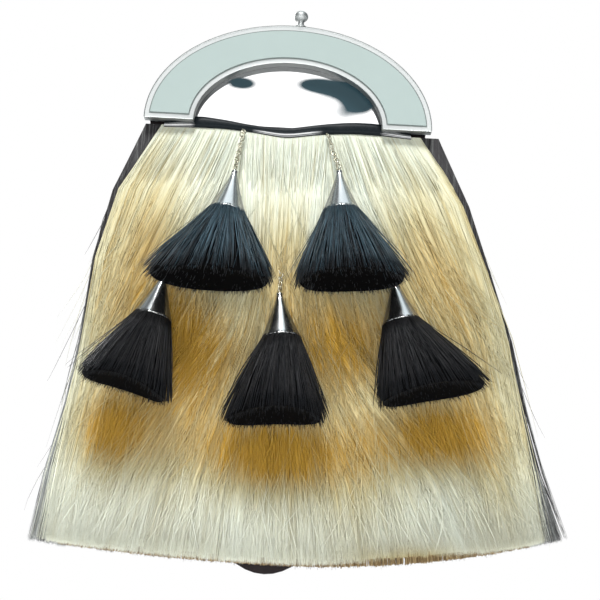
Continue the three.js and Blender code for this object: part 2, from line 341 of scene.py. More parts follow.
class Nodes:
    """An emptied node tree that is filled one call at a time."""

    def __init__(self, tree):
        self.tree = tree
        tree.nodes.clear()

    def node(self, kind, given=None, inputs=None):
        """Adds a node; its settings are set before its sockets. A ramp's stops are one setting."""
        node = self.tree.nodes.new(kind)
        for name, value in (given or {}).items():
            if name == "stops":
                ramp = node.color_ramp.elements
                while len(ramp) < len(value):
                    ramp.new(0.5)
                for stop, (place, level) in zip(ramp, value):
                    stop.position = place
                    stop.color = (level, level, level, 1) if isinstance(level, float) else (*level, 1)
            else:
                setattr(node, name, value)
        for name, value in (inputs or {}).items():
            self.put(node.inputs[name], value)
        return node

    def put(self, socket, value):
        if isinstance(value, Value):
            self.tree.links.new(value.socket, socket)
        elif isinstance(value, bpy.types.NodeSocket):
            self.tree.links.new(value, socket)
        elif hasattr(value, "__len__") and len(value) == 3 and len(socket.default_value) == 4:
            socket.default_value = (*value, 1)
        else:
            socket.default_value = value

    def place(self, kind="Object"):
        """The point on the piece in the object's own coordinates, and its three parts."""
        vector = self.node("ShaderNodeTexCoord").outputs[kind]
        parts = self.node("ShaderNodeSeparateXYZ", inputs={"Vector": vector}).outputs
        return vector, [Value(self, part) for part in parts]

    def joined(self, x, y):
        return self.node("ShaderNodeCombineXYZ", inputs={"X": x, "Y": y}).outputs[0]

    def stretched(self, vector, scale):
        given = {"Vector": vector, "Scale": scale}
        return self.node("ShaderNodeMapping", inputs=given).outputs[0]

    def noise(self, vector, scale, detail=3.0, roughness=0.5):
        given = {"Vector": vector, "Scale": scale, "Detail": detail, "Roughness": roughness}
        return Value(self, self.node("ShaderNodeTexNoise", inputs=given).outputs[0])

    def attribute(self, name):
        node = self.node("ShaderNodeAttribute", {"attribute_name": name})
        return Value(self, node.outputs["Fac"])

    def ramp(self, value, stops):
        node = self.node("ShaderNodeValToRGB", {"stops": stops}, {"Fac": value})
        return node.outputs[0]

    def mix(self, share, first, second, blend="MIX"):
        node = self.node("ShaderNodeMix", {"data_type": "RGBA", "blend_type": blend})
        for index, value in ((0, share), (6, first), (7, second)):
            self.put(node.inputs[index], value)
        return node.outputs[2]


class Finish(Nodes):
    """A material: one shader, its constants and whatever varies over the surface."""

    def __init__(self, name, **shader):
        self.material = bpy.data.materials.new(name)
        self.material.use_nodes = True
        super().__init__(self.material.node_tree)
        self.shader = self.node("ShaderNodeBsdfPrincipled", inputs=shader)
        output = self.node("ShaderNodeOutputMaterial")
        self.tree.links.new(self.shader.outputs[0], output.inputs["Surface"])

    def bump(self, height, strength, distance):
        given = {"Height": height, "Strength": strength, "Distance": distance}
        self.put(self.shader.inputs["Normal"], self.node("ShaderNodeBump", inputs=given).outputs[0])

    def wear(self, **sockets):
        for name, value in sockets.items():
            self.put(self.shader.inputs[name.replace("_", " ")], value)
        return self.material


# ---- Materials ----


def chrome():
    """Plated metal: faint polishing marks, a little haze and, on the cones, flanks painted darker as a
    painted dark reflection.
    """
    finish = Finish("chrome", Metallic=1.0)
    vector, _ = finish.place()
    haze = finish.noise(vector, 90.0)
    marks = finish.noise(finish.stretched(vector, (300, 300, 2500)), 1.0, 2.0)
    finish.bump(marks, 0.05, 0.00002)
    # Painted reflection: the cones' sides, as seen from the front, are darkened in the base colour.
    flank = ((finish.attribute("flank") - 0.5) * 3).kept_in_range()
    return finish.wear(
        Base_Color=finish.mix(flank, (0.87, 0.875, 0.87), (0.25, 0.25, 0.275)),
        Roughness=0.15 + haze * 0.12 + flank * 0.1,
    )


def satin_metal():
    """The cantle's plated rim and knob, dulled by handling."""
    finish = Finish("satin_metal", Metallic=1.0)
    vector, _ = finish.place()
    haze = finish.noise(vector, 45.0, 4.0)
    marks = finish.noise(finish.stretched(vector, (60, 60, 3000)), 1.0, 2.0)
    finish.bump(marks, 0.05, 0.00002)
    pale = settings("sporran_cantle").metal
    shade = tuple(part * 0.86 for part in pale)
    return finish.wear(Base_Color=finish.mix(haze, shade, pale), Roughness=0.46 + haze * 0.12)


def chain_metal():
    """The chains' wire, a little yellowed and dull between its bright edges."""
    finish = Finish("chain_metal", Metallic=1.0)
    vector, _ = finish.place()
    cloud = finish.noise(vector, 240.0, 3.0)
    return finish.wear(
        Base_Color=finish.mix(cloud, (0.36, 0.33, 0.22), (0.72, 0.70, 0.60)),
        Roughness=0.18 + cloud * 0.2,
    )


def dark_groove_bed():
    """The grey bed of the groove between rim and inlay, darker than the metal on either side."""
    finish = Finish("dark_groove_bed", Metallic=0.4, IOR=1.5)
    vector, _ = finish.place()
    cloud = finish.noise(vector, 60.0, 4.0)
    return finish.wear(
        Base_Color=finish.mix(cloud, (0.10, 0.115, 0.11), (0.24, 0.27, 0.26)),
        Roughness=0.5 + cloud * 0.2,
    )


def inlay():
    """The flat inlay: pale, satin and almost even."""
    finish = Finish("inlay", **{"IOR": 1.45, "Coat Roughness": 0.25})
    vector, _ = finish.place()
    cloud = finish.noise(vector, 28.0, 4.0)
    grain = finish.noise(vector, 2600.0, 2.0)
    pale = settings("sporran_cantle").inlay
    shade = tuple(part * 0.93 for part in pale)
    finish.bump(grain, 0.06, 0.00003)
    return finish.wear(
        Base_Color=finish.mix(cloud, shade, pale),
        Roughness=0.42 + grain * 0.1,
    )


PATCH_FADE = 0.8


def patches(x, z, table):
    """How strongly soft elliptical patches cover a point: 0 outside them, more where they meet."""
    cover = 0.0
    for across, height, wide, tall, strength in table:
        reach = ((x - across * MM) / (wide * MM)) ** 2 + ((z - height * MM) / (tall * MM)) ** 2
        cover = (reach * -PATCH_FADE).maths("EXPONENT") * strength + cover
    return cover


# Where the panel is painted with a dark bluish reflection and left without its coat, in millimetres.
DARK_REFLECTION_PATCHES = (
    # x, z, half-width, half-height, strength
    (-33, 29.8, 9.5, 4.2, 1.0),
    (18, 31, 13, 4.8, 1.0),
    (40, 27.5, 15, 6.8, 1.0),
    (49, 19.5, 9, 6.5, 0.9),
    (36, 12, 10, 6, 0.42),
)


def patent():
    """Patent leather: near black under a thick gloss, with faint ripples and patches where a dark bluish
    reflection is painted and the coat is left off.
    """
    finish = Finish(
        "patent_leather",
        **{"IOR": 1.4, "Specular IOR Level": 0.12, "Coat Roughness": 0.04, "Coat IOR": 2.7},
    )
    vector, (x, _, z) = finish.place()
    ripple = finish.noise(vector, 55.0, 2.0)
    speck = finish.noise(vector, 900.0, 2.0)
    cloud = finish.noise(vector, 75.0, 4.0)
    # Painted reflection: in these patches the base colour is a dark bluish reflection colour and the coat
    # is taken away.
    dull = ((patches(x, z, DARK_REFLECTION_PATCHES) + (cloud - 0.5) * 0.16 - 0.34) * 3.4).kept_in_range()
    finish.bump(ripple + speck * 0.03, 0.12, 0.0006)
    return finish.wear(
        Base_Color=finish.mix(dull, settings("sporran_leather").patent, (0.020, 0.046, 0.058)),
        Roughness=0.3 + speck * 0.1,
        Coat_Weight=1 - dull,
    )


def yoke_gloss():
    """The yoke's patent leather, still bright at the middle and under the feet, dull between."""
    finish = Finish(
        "yoke_leather",
        **{"IOR": 1.38, "Specular IOR Level": 0.08, "Coat Roughness": 0.06, "Coat IOR": 2.2},
    )
    vector, (x, _, _) = finish.place()
    speck = finish.noise(vector, 700.0, 2.0)
    ripple = finish.noise(vector, 120.0, 3.0)
    reach = x.magnitude() / MM
    middle = ((24 - reach) * 0.12).kept_in_range()
    feet = ((reach - 62) * 0.3).kept_in_range() * ((85 - reach) * 0.5).kept_in_range()
    rise = finish.attribute("rise")
    strip = ((rise + 0.92) * 7).kept_in_range() * ((0.25 - rise) * 6).kept_in_range()
    finish.bump(ripple + speck * 0.05, 0.1, 0.0006)
    return finish.wear(
        Base_Color=finish.mix(speck, settings("sporran_leather").patent, (0.008, 0.012, 0.014)),
        Roughness=0.18 + speck * 0.2,
        Coat_Weight=(middle + feet) * strip,
    )


def leather():
    """Grained black leather, paler and smoother where it is rubbed."""
    finish = Finish("grained_leather", **{"IOR": 1.5, "Specular IOR Level": 0.09})
    vector, _ = finish.place()
    bend = finish.noise(vector, 60.0, 2.0)
    cells = finish.node(
        "ShaderNodeTexVoronoi",
        {"feature": "DISTANCE_TO_EDGE"},
        {"Vector": vector, "Scale": 620.0},
    ).outputs["Distance"]
    grain = Value(finish, cells)
    rubbed = finish.noise(vector, 22.0, 5.0, 0.6)
    finish.bump(grain.maths("SMOOTH_MIN", 0.25, 0.2) + bend * 0.5, 0.35, 0.0006)
    dark = settings("sporran_leather").leather
    pale = tuple(part * 2.2 for part in dark)
    return finish.wear(
        Base_Color=finish.mix(rubbed, dark, pale),
        Roughness=0.66 - rubbed * 0.34,
    )


def thread():
    """Waxed black thread."""
    finish = Finish("thread", IOR=1.45)
    vector, _ = finish.place()
    twist = finish.noise(finish.stretched(vector, (1, 1, 3)), 2400.0)
    finish.bump(twist, 0.4, 0.0001)
    return finish.wear(
        Base_Color=finish.mix(twist, (0.03, 0.027, 0.024), (0.14, 0.125, 0.11)),
        Roughness=0.45 + twist * 0.2,
    )


# Where the white hair is painted tan, in millimetres: partly yellowed hair and partly painted shadow, most
# of all under the tassels.
STAINS_AND_SHADOWS = (
    # x, z, half-width, half-height, strength
    (-62, -154, 30, 42, 0.84),
    (44, -150, 36, 40, 0.76),
    (-102, -212, 24, 26, 0.88),
    (4, -224, 46, 22, 0.98),
    (104, -206, 32, 22, 0.92),
    (-8, -160, 40, 46, 0.32),
    (2, -96, 20, 36, 0.44),
    (-88, -84, 26, 56, 0.56),
    (-114, -140, 18, 50, 0.34),
    (96, -88, 30, 56, 0.54),
    (128, -146, 26, 60, 0.44),
    (152, -214, 22, 50, 0.30),
    (-44, -194, 30, 36, 0.20),
    (100, -286, 30, 8, 0.75),
    (56, -236, 22, 40, 0.26),
    (-68, -236, 18, 36, 0.14),
)


def skirt_hair():
    """White horsehair with tan patches that are partly yellowing and partly painted shadow, and painted
    paler towards the hem; each strand has a tone of its own.
    """
    hair = settings("sporran_hair")
    finish = Finish("white_horsehair", **{"IOR": 1.5, "Specular IOR Level": 0.35})
    _, (x, _, z) = finish.place()
    tone = finish.attribute("tone")
    warmth = finish.attribute("warmth")
    # Painted shadow: these patches hold the tassels' shadows as well as yellowed hair.
    stain_and_shadow = patches(x, z, STAINS_AND_SHADOWS)
    flow = finish.joined(finish.attribute("across") * 36, finish.attribute("down") * 3)
    drift = finish.noise(flow, 1.0, 4.0, 0.6)
    yellow = stain_and_shadow * (0.66 + drift * 0.8) + (warmth - 0.2) * 0.24 + (drift - 0.5) * 0.5
    yellow = yellow.kept_in_range()
    # Painted light: the hair is painted paler towards the hem, standing in for light there.
    painted_hem_light = ((z + 0.20) * -14).kept_in_range()
    clean = finish.mix(painted_hem_light, hair.white, hair.painted_hem_light)
    straw = finish.mix((yellow * 2).kept_in_range(), clean, hair.straw)
    colour = finish.mix((yellow * 2 - 1).kept_in_range(), straw, hair.tan)
    stops = [(0.0, (0.66, 0.60, 0.50)), (0.14, (0.84, 0.81, 0.74)), (0.4, 0.95), (1.0, 1.0)]
    shade = finish.ramp(tone, stops)
    return finish.wear(
        Base_Color=finish.mix(1.0, colour, shade, "MULTIPLY"),
        Roughness=0.5 - tone * 0.12,
    )


def plain_hair(name, colour, glint, roughness, shine=0.25):
    """Hair of one colour: each strand a little lighter or darker, and some mixed towards a second colour,
    which on the tassels is a painted glint.
    """
    finish = Finish(name, **{"IOR": 1.55, "Specular IOR Level": shine})
    vector, _ = finish.place()
    streak = finish.noise(finish.stretched(vector, (900, 900, 30)), 1.0, 3.0)
    tone = finish.attribute("tone")
    pale = finish.mix(((tone ** 2) + (streak - 0.5) * 0.5).kept_in_range(), colour, glint)
    return finish.wear(Base_Color=pale, Roughness=roughness + (0.5 - tone) * 0.12)


# ---- Mesh helpers ----


def finished(mesh, name, material, smooth=True, slot=None, replaces=()):
    """Links a mesh as a piece of the model that rides on the body."""
    piece = bpy.data.objects.new(name, mesh)
    bpy.context.scene.collection.objects.link(piece)
    mesh.materials.clear()
    mesh.materials.append(material)
    if smooth:
        mesh.shade_smooth()
    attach(piece, "root")
    if replaces:
        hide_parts(*replaces)
    return piece


def from_bmesh(bm, name, material, sharp=None, **said):
    """Turns a bmesh into a piece, with edges sharper than an angle kept hard."""
    mesh = bpy.data.meshes.new(name)
    bm.to_mesh(mesh)
    bm.free()
    mesh.shade_smooth()
    if sharp:
        mesh.set_sharp_from_angle(angle=math.radians(sharp))
    return finished(mesh, name, material, smooth=False, **said)


def new_verts(made):
    """The corners that an extrusion has added."""
    return [item for item in made["geom"] if isinstance(item, bmesh.types.BMVert)]


def thickened(bm, depth):
    """Gives a flat sheet a back, a little further along Y, and closes the edge between them."""
    made = bmesh.ops.extrude_face_region(bm, geom=bm.faces[:])
    bmesh.ops.translate(bm, vec=(0, depth, 0), verts=new_verts(made))
    bmesh.ops.recalc_face_normals(bm, faces=bm.faces)


def bevelled(bm, angle, offset, segments):
    """Rounds over the edges that are sharper than an angle, in degrees."""
    limit = math.radians(angle)
    sharp = [e for e in bm.edges if len(e.link_faces) == 2 and e.calc_face_angle() > limit]
    bmesh.ops.bevel(
        bm,
        geom=sharp,
        offset=offset,
        segments=segments,
        affect="EDGES",
        profile=0.5,
        material=-1,
        clamp_overlap=True,
    )


def even_layer(piece, key, level):
    """Gives a whole piece one level of a strand's attribute."""
    layer = piece.data.attributes.new(key, "FLOAT", "POINT")
    layer.data.foreach_set("value", np.full(len(piece.data.vertices), level, np.float32))


def spun(profile, steps=64):
    """A closed shape turned about Z from (radius, height) pairs that start and end on the axis."""
    bm = bmesh.new()
    points = [bm.verts.new((radius, 0, height)) for radius, height in profile]
    edges = [bm.edges.new(pair) for pair in zip(points, points[1:])]
    bmesh.ops.spin(
        bm,
        geom=points + edges,
        axis=(0, 0, 1),
        cent=(0, 0, 0),
        steps=steps,
        angle=2 * math.pi,
        use_merge=True,
    )
    bmesh.ops.remove_doubles(bm, verts=bm.verts, dist=1e-6)
    bmesh.ops.recalc_face_normals(bm, faces=bm.faces)
    return bm


def rounded(points, turns=4):
    """A profile with every inner corner replaced by a short curve."""
    out = [points[0]]
    for before, here, after in zip(points, points[1:], points[2:]):
        a = Vector(here).lerp(Vector(before), 0.32)
        b = Vector(here).lerp(Vector(after), 0.32)
        for step in range(turns + 1):
            t = step / turns
            out.append(tuple(a.lerp(Vector(here), t).lerp(Vector(here).lerp(b, t), t)))
    return [*out, points[-1]]


def node_points(name):
    """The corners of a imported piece."""
    co = np.zeros(len(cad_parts[name].data.vertices) * 3, np.float32)
    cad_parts[name].data.vertices.foreach_get("co", co)
    return co.reshape(-1, 3).astype(float)


def at_height(table, column, z):
    """One column of a table whose rows run downwards, at a height in metres or many of them."""
    rows = np.array(table, float)[::-1]
    return np.interp(z / MM, rows[:, 0], rows[:, column]) * MM


def outline(name, y, inset):
    """The rim of a flat rounded piece, drawn in by a little and closed, at a place in y."""
    points = node_points(name)[:, [0, 2]]
    middle = (points.min(0) + points.max(0)) / 2
    turns = np.radians(np.arange(0, 361, 2.0))
    ways = np.stack([np.cos(turns), np.sin(turns)], 1)
    reach = ((points - middle) @ ways.T).max(0) - inset
    facing = ways @ ways.T
    rays = np.where(facing > 0.05, reach[None, :] / np.maximum(facing, 0.05), 1.0).min(1)
    rim = middle + ways * rays[:, None]
    return np.stack([rim[:, 0], np.full(len(rim), y), rim[:, 1]], 1)


def lengths_along(line):
    """How far along a line each of its points lies."""
    return np.concatenate([[0], np.cumsum(np.linalg.norm(np.diff(line, axis=0), axis=1))])


def point_along(line, steps, length):
    """The point at a length along a line, given how far along its own points lie."""
    return Vector([np.interp(length, steps, line[:, k]) for k in range(3)])


def stitched(name, lines, pitch, material):
    """Rows of short thread stitches, one row along each line, as one piece."""
    short = bmesh.new()
    bmesh.ops.create_uvsphere(short, u_segments=6, v_segments=4, radius=1)
    one = bpy.data.meshes.new("stitch")
    short.to_mesh(one)
    short.free()
    bm = bmesh.new()
    for line in lines:
        line = np.asarray(line, float)
        steps = lengths_along(line)
        count = max(1, round(steps[-1] / pitch))
        for i in range(count):
            start, end = (
                point_along(line, steps, (i + part) / count * steps[-1]) for part in (0.16, 0.84)
            )
            turn = (end - start).to_track_quat("Z", "Y").to_matrix().to_4x4()
            size = Matrix.Diagonal((0.42 * MM, 0.42 * MM, (end - start).length / 2, 1))
            first = len(bm.verts)
            bm.from_mesh(one)
            bm.verts.ensure_lookup_table()
            place = Matrix.Translation((start + end) / 2) @ turn @ size
            bmesh.ops.transform(bm, matrix=place, verts=bm.verts[first:])
    bpy.data.meshes.remove(one)
    bmesh.ops.recalc_face_normals(bm, faces=bm.faces)
    return from_bmesh(bm, name, material, slot="leather")


# ---- Strands ----


# How deep a strand is, as a share of its width.
FLATTENED = 0.75


def strands(name, paths, widths, tones, material, facing=(0, -1, 0), columns=256, **said):
    """Joins thin closed three-sided strands, one along each path, into a single piece.

    paths is (strands, points, 3), widths is the half-width at each point and tones gives each
    strand its attributes. Every strand has its own strip of a UV map.
    """
    count, steps, _ = paths.shape
    along = np.gradient(paths, axis=1)
    along /= np.linalg.norm(along, axis=2, keepdims=True) + 1e-12
    side = np.cross(along, np.asarray(facing, float))
    side /= np.linalg.norm(side, axis=2, keepdims=True) + 1e-12
    out = np.cross(side, along)
    wide = widths[:, :, None]
    corners = np.stack([
        paths - side * wide - out * wide * FLATTENED * 0.4,
        paths + out * wide * FLATTENED,
        paths + side * wide - out * wide * FLATTENED * 0.4,
    ], axis=2)
    vertices = corners.reshape(-1, 3)
    base = (np.arange(count) * steps * 3)[:, None, None]
    ring = (np.arange(steps - 1) * 3)[None, :, None]
    faces = []
    for first in range(3):
        second = (first + 1) % 3
        quad = np.array([first, second, second + 3, first + 3])
        faces.append(base + ring + quad)
    quads = np.concatenate(faces, axis=1).reshape(-1, 4)
    starts = (base[:, :, 0] + np.array([2, 1, 0])).reshape(-1, 3)
    ends = (base[:, :, 0] + (steps - 1) * 3 + np.array([0, 1, 2])).reshape(-1, 3)

    loops = np.concatenate([quads.ravel(), starts.ravel(), ends.ravel()]).astype(np.int32)
    sizes = np.concatenate([np.full(len(quads), 4), np.full(len(starts) + len(ends), 3)])
    loop_starts = np.concatenate([[0], np.cumsum(sizes)[:-1]]).astype(np.int32)
    mesh = bpy.data.meshes.new(name)
    mesh.vertices.add(len(vertices))
    mesh.vertices.foreach_set("co", vertices.astype(np.float32).ravel())
    mesh.loops.add(len(loops))
    mesh.loops.foreach_set("vertex_index", loops)
    mesh.polygons.add(len(sizes))
    mesh.polygons.foreach_set("loop_start", loop_starts)
    mesh.update(calc_edges=True)
    for key, levels in tones.items():
        layer = mesh.attributes.new(key, "FLOAT", "POINT")
        levels = np.broadcast_to(levels.reshape(count, -1), (count, steps))
        layer.data.foreach_set("value", np.repeat(levels.ravel(), 3).astype(np.float32))

    rows = math.ceil(count / columns)
    strand, corner = loops // (steps * 3), loops % 3
    down = (loops // 3) % steps / (steps - 1)
    u = (strand % columns + 0.2 + 0.3 * corner) / columns
    v = (strand // columns + 0.05 + 0.9 * down) / rows
    uv = mesh.uv_layers.new(name="OFBake")
    uv.uv.foreach_set("vector", np.stack([u, v], 1).astype(np.float32).ravel())
    return finished(mesh, name, material, **said)


def tapered(count, steps, width, random, root=0.75, tip=0.12):
    """Half-widths that swell below the root and run out at the tip."""
    s = np.linspace(0, 1, steps)[None, :]
    thins = 0.72
    end = np.where(s > thins, 1 - (1 - tip) * (s - thins) / (1 - thins), 1.0)
    return width * np.minimum(root + 2.5 * s, 1.0) * end * random.uniform(0.55, 1.3, (count, 1))


# ---- The skirt's form ----

# The outline of each layer from the yoke down, in millimetres.
WHITE_ROWS = (
    # height, left edge, right edge, how far the middle stands in front of the pouch's back
    (-3, -82, 86, 25),
    (-22, -93, 101, 28),
    (-40, -106, 114, 31),
    (-85, -119, 131, 37),
    (-130, -123, 147, 41),
    (-178, -127, 158, 44),
    (-205, -131, 162, 45),
    (-235, -134, 168, 46),
    (-292, -139, 178, 47),
)
DARK_ROWS = (
    (-3, -93.5, 99, 20.5),
    (-22, -101, 110, 21.5),
    (-40, -111, 120, 22),
    (-85, -122, 134, 22.5),
    (-130, -126, 150, 22.5),
    (-178, -130, 162, 22.5),
    (-205, -135, 167, 22.5),
    (-235, -142, 175, 22.5),
    (-292, -151, 195, 22.5),
)
YOKE_ROWS = (
    # x, bottom, top
    (-83, -4.5, -0.8),
    (-62, -3.8, 5.2),
    (-42, -3.6, 3.2),
    (-24, -5.2, 0.2),
    (-1, -8.2, -1),
    (23, -4.4, 3.4),
    (42, -2.6, 6),
    (63, -3, 6),
    (83, -4.5, -0.8),
)
WHITE_BACK = 22.3 * MM
DARK_BACK = 18.3 * MM
# How thick a layer is at its sides.
EDGE = 3 * MM
# The height at which the hair leaves the yoke, and how far it falls, in millimetres.
HAIR_TOP = -3
HAIR_FALL = 289
# Where the hair goes in behind the yoke.
TUCK = 22.6 * MM


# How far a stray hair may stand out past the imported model.
FARTHEST = 9 * MM


def smooth_step(value, low, high):
    """0 below low, 1 above high and a soft step between."""
    t = np.clip((value - low) / (high - low), 0, 1)
    return t * t * (3 - 2 * t)


def hem_at(x):
    """Where the hair ends below each place across the skirt."""
    away = x / MM - 10
    return (-290.5 + np.where(away < 0, 0.00035, 0.0008) * away * away) * MM


def sweep_back(x, z):
    """The hair past the pouch's sides sweeps back round it."""
    return 9 * MM * smooth_step(np.abs(x / MM - 10), 80, 165) * smooth_step(-z / MM, 60, 200)


def skirt_width(rows, down):
    """The left and right edges of a layer, down from 0 at the yoke to 1 at the hem."""
    table_z = (HAIR_TOP - HAIR_FALL * down) * MM
    nearby = (-14, -7, 0, 7, 14)
    left, right = (
        sum(at_height(rows, column, table_z + near * MM) for near in nearby) / len(nearby)
        for column in (1, 2)
    )
    return table_z, left, right


def skirt_point(rows, back, x, down, lift):
    """The point of a layer's front at a place across, so far down, lifted off by a little."""
    table_z, left, right = skirt_width(rows, down)
    across = np.clip((x - left) / (right - left) * 2 - 1, -1, 1)
    crown = 1 - np.abs(across) ** 2.6
    across_yoke, bottoms, _ = zip(*YOKE_ROWS)
    top = np.interp(x / MM, across_yoke, bottoms) * MM + 1.8 * MM
    z = top + (hem_at(x) - top) * down
    tucked = 1 - smooth_step(top - z, 0, 9 * MM)
    thick = (at_height(rows, 3, table_z) - back - EDGE) * crown + EDGE + lift
    thick = thick * (1 - tucked) + np.minimum(thick, TUCK - back) * tucked
    return np.stack([x, sweep_back(x, z) - back - thick, z], -1)


# The tassels' chains part the outer hair: where the locks on either side of each parting run,
# in millimetres from the middle.
PARTINGS = (
    # height, edge of the left locks, left and right edge of the middle ones, edge of the right ones
    (-3, -30, -29, 27, 28),
    (-60, -46, -25, 24, 44),
    (-86, -58, -24, 23, 58),
    (-112, -75, -25, 25, 73),
    (-150, -98, -44, 42, 95),
    (-200, -111, -82, 84, 118),
    (-240, -119, -110, 122, 138),
    (-292, -127, -126, 152, 154),
)


def parted(start, rows, down):
    """Where a lock that leaves the yoke at a place across lies further down."""
    table_z, left, right = skirt_width(rows, down)
    first = at_height(rows, 1, HAIR_TOP * MM), at_height(rows, 2, HAIR_TOP * MM)
    begin = first[0] + (first[1] - first[0]) * (start + 1) / 2
    begin = begin[:, None] + np.zeros_like(table_z)
    edges = [at_height(PARTINGS, column, table_z) for column in (1, 2, 3, 4)]
    tops = [PARTINGS[0][column] * MM for column in (1, 2, 3, 4)]
    to_left = left + (begin - first[0]) / (tops[0] - first[0]) * (edges[0] - left)
    to_right = right + (begin - first[1]) / (tops[3] - first[1]) * (edges[3] - right)
    middle = np.where(begin < 0, begin / tops[1] * edges[1], begin / tops[2] * edges[2])
    return np.where(begin < tops[0], to_left, np.where(begin > tops[3], to_right, middle))


def gathered(random, start, clumps, s):
    """Strands drawn together into locks on their way down."""
    clump = np.sort(random.uniform(-1, 1, clumps))
    nearest = np.abs(start[:, None] - clump[None, :]).argmin(1)
    pull = (random.uniform(0.1, 0.75, clumps)[nearest])[:, None] * smooth_step(s, 0.05, 0.8)
    inside = clump[nearest] + random.normal(0, 0.006, len(start))
    return nearest, start[:, None] * (1 - pull) + inside[:, None] * pull


def skirt_paths(random, rows, back, count, steps, lift, clumps, wander, parting, trim=0.0, side=0.0):
    """Combed strands: they leave the yoke evenly, part at the chains and fan out to the hem.

    Each has its own tone and warmth, partly shared within its lock, and knows where it lies.
    """
    s = np.linspace(0, 1, steps)[None, :]
    even = np.linspace(-1, 1, count)
    crowded = np.sign(even) * np.where(
        np.abs(even) < 0.55,
        np.abs(even) * 0.34 / 0.55,
        0.34 + (np.abs(even) - 0.55) * 0.66 / 0.45,
    )
    start = even + (crowded - even) * parting + random.normal(0, 0.012, count)
    at_side = random.random(count) < side
    start = np.where(at_side, np.sign(start) * (1 - 0.14 * random.random(count)), start)
    start = np.clip(start, -1, 1)
    nearest, across = gathered(random, start, clumps, s)
    ends = 1 + random.normal(0, 0.0022, count) + random.normal(0, 0.0012, clumps)[nearest]
    short = random.random(count) < 0.10
    ends = np.where(short, ends - random.uniform(0.03, 0.5, count), ends)
    down = s * ends[:, None]
    _, left, right = skirt_width(rows, down)
    even_x = left + (right - left) * (across + 1) / 2
    parted_x = np.concatenate([parted(across[:, i], rows, down[:, [i]]) for i in range(steps)], 1)
    x = even_x + (parted_x - even_x) * parting
    half = (right - left) / 2
    sway = random.normal(0, wander, clumps)[nearest] + random.normal(0, wander * 0.5, count)
    astray = (random.random(count) < 0.12) * random.normal(0, wander * 4, count)
    bend = random.normal(0, wander * 0.4, count)
    x = x + half * ((sway + astray)[:, None] * s ** 1.5 + bend[:, None] * np.sin(s * math.pi * 1.3))
    spill = random.exponential(0.5 * MM, count)[:, None] * s
    frayed = (random.random((count, 1)) < 0.4) * random.exponential(7 * MM, (count, 1))
    spill = spill + frayed * smooth_step(s, 0.5, 1.0)
    x = np.clip(x, left - spill, right + spill)
    raised = random.normal(0, 0.4 * MM, clumps)[nearest] + random.uniform(-0.5, 0.5, count) * MM
    lifts = lift + raised[:, None] * smooth_step(s, 0.02, 0.35)
    ripple = np.sin(s * random.uniform(3, 9, (count, 1)) + random.uniform(0, 6, (count, 1)))
    lifts = lifts + 0.3 * MM * ripple
    points = skirt_point(rows, back, x, down, lifts)
    shorter = trim * (1.2 + 5.5 * np.exp(-(((points[:, :, 0] / MM - 92) / 34) ** 2))) * MM
    points[:, :, 2] += shorter * s
    loose = 0.45 * MM * smooth_step(s, 0.1, 1.0)
    wave = np.sin(s * random.uniform(4, 12, (count, 1)) + random.uniform(0, 6, (count, 1)))
    points[:, :, 0] += loose * wave
    shared, warm = random.random((2, clumps))[:, nearest]
    tones = {
        "tone": np.clip(0.45 * shared + 0.55 * random.random(count), 0, 1),
        "warmth": np.clip(warm * 0.6 + random.random(count) * 0.4, 0, 1) ** 1.6,
        "across": across,
        "down": down,
    }
    return points, tones


def skirt_body(name, rows, back, sunk, width, material, **said):
    """The closed form under the strands: the layer's front, and a back drawn in to the pouch."""
    bm = bmesh.new()
    bmesh.ops.create_grid(bm, x_segments=72, y_segments=28, size=1)
    for vertex in bm.verts:
        across, down = vertex.co.x * width, (1 - vertex.co.y) / 2 * 0.985
        _, left, right = skirt_width(rows, down)
        x = left + (right - left) * (across + 1) / 2
        vertex.co = Vector(skirt_point(rows, back, x, down, -sunk))
    bmesh.ops.recalc_face_normals(bm, faces=bm.faces)
    if sum(face.normal.y for face in bm.faces) > 0:
        bmesh.ops.reverse_faces(bm, faces=bm.faces)
    for vertex in new_verts(bmesh.ops.extrude_face_region(bm, geom=bm.faces[:])):
        vertex.co.y = -back + sweep_back(vertex.co.x, vertex.co.z) - 0.2 * MM
    bmesh.ops.recalc_face_normals(bm, faces=bm.faces)
    piece = from_bmesh(bm, name, material, **said)
    even_layer(piece, "tone", 0.4)
    even_layer(piece, "warmth", 0.5)


# ---- Tassel frames ----

# The brush below each cone: angles in degrees and lengths in millimetres.
BRUSHES = {
    # name: the cone's swing, the hair's swing, fan, length, how much longer to the right
    "upper_left": (-6, -7, 27.5, 50, -0.09),
    "upper_right": (5, 9, 22.5, 50, 0.03),
    "lower_middle": (5, -1, 17.5, 52, -0.02),
    "lower_left": (-10, -16, 17, 47, 0.02),
    "lower_right": (11, 21.5, 21.5, 50, 0.06),
}
# How far the rear and front hairs lean, in degrees.
FAN_BACK = 1
FAN_FRONT = 17
# How much longer than the middle hairs the outer ones are, as a share.
LONGER_AT_SIDES = 0.2
LONGER_IN_FRONT = 0.14
LONGER_BEHIND = 0.07
BRUSH_RADIUS = 12.3 * MM


def cone_frame(name):
    """The place of a cone: its tip at the origin, its axis along local -Z, and its length."""
    points = node_points(f"cone_{name}")
    middle = (points.min(0) + points.max(0)) / 2
    _, axes = np.linalg.eigh(np.cov((points - points.mean(0)).T))
    upright = np.abs(axes[2]).argmax()
    axis = -axes[:, upright] * np.sign(axes[2, upright])
    reach = (points - middle) @ axis
    tip = points[reach < reach.min() + 0.3 * MM].mean(0)
    rim = points[reach > reach.max() - 0.3 * MM].mean(0)
    length = np.linalg.norm(rim - tip)
    axis = Vector(rim - tip).normalized()
    side = Vector((0, -1, 0)).cross(axis).normalized()
    forward = axis.cross(side)
    turn = Matrix((side, -forward, -axis)).transposed().to_4x4()
    return Matrix.Translation(Vector(tip)) @ turn, length


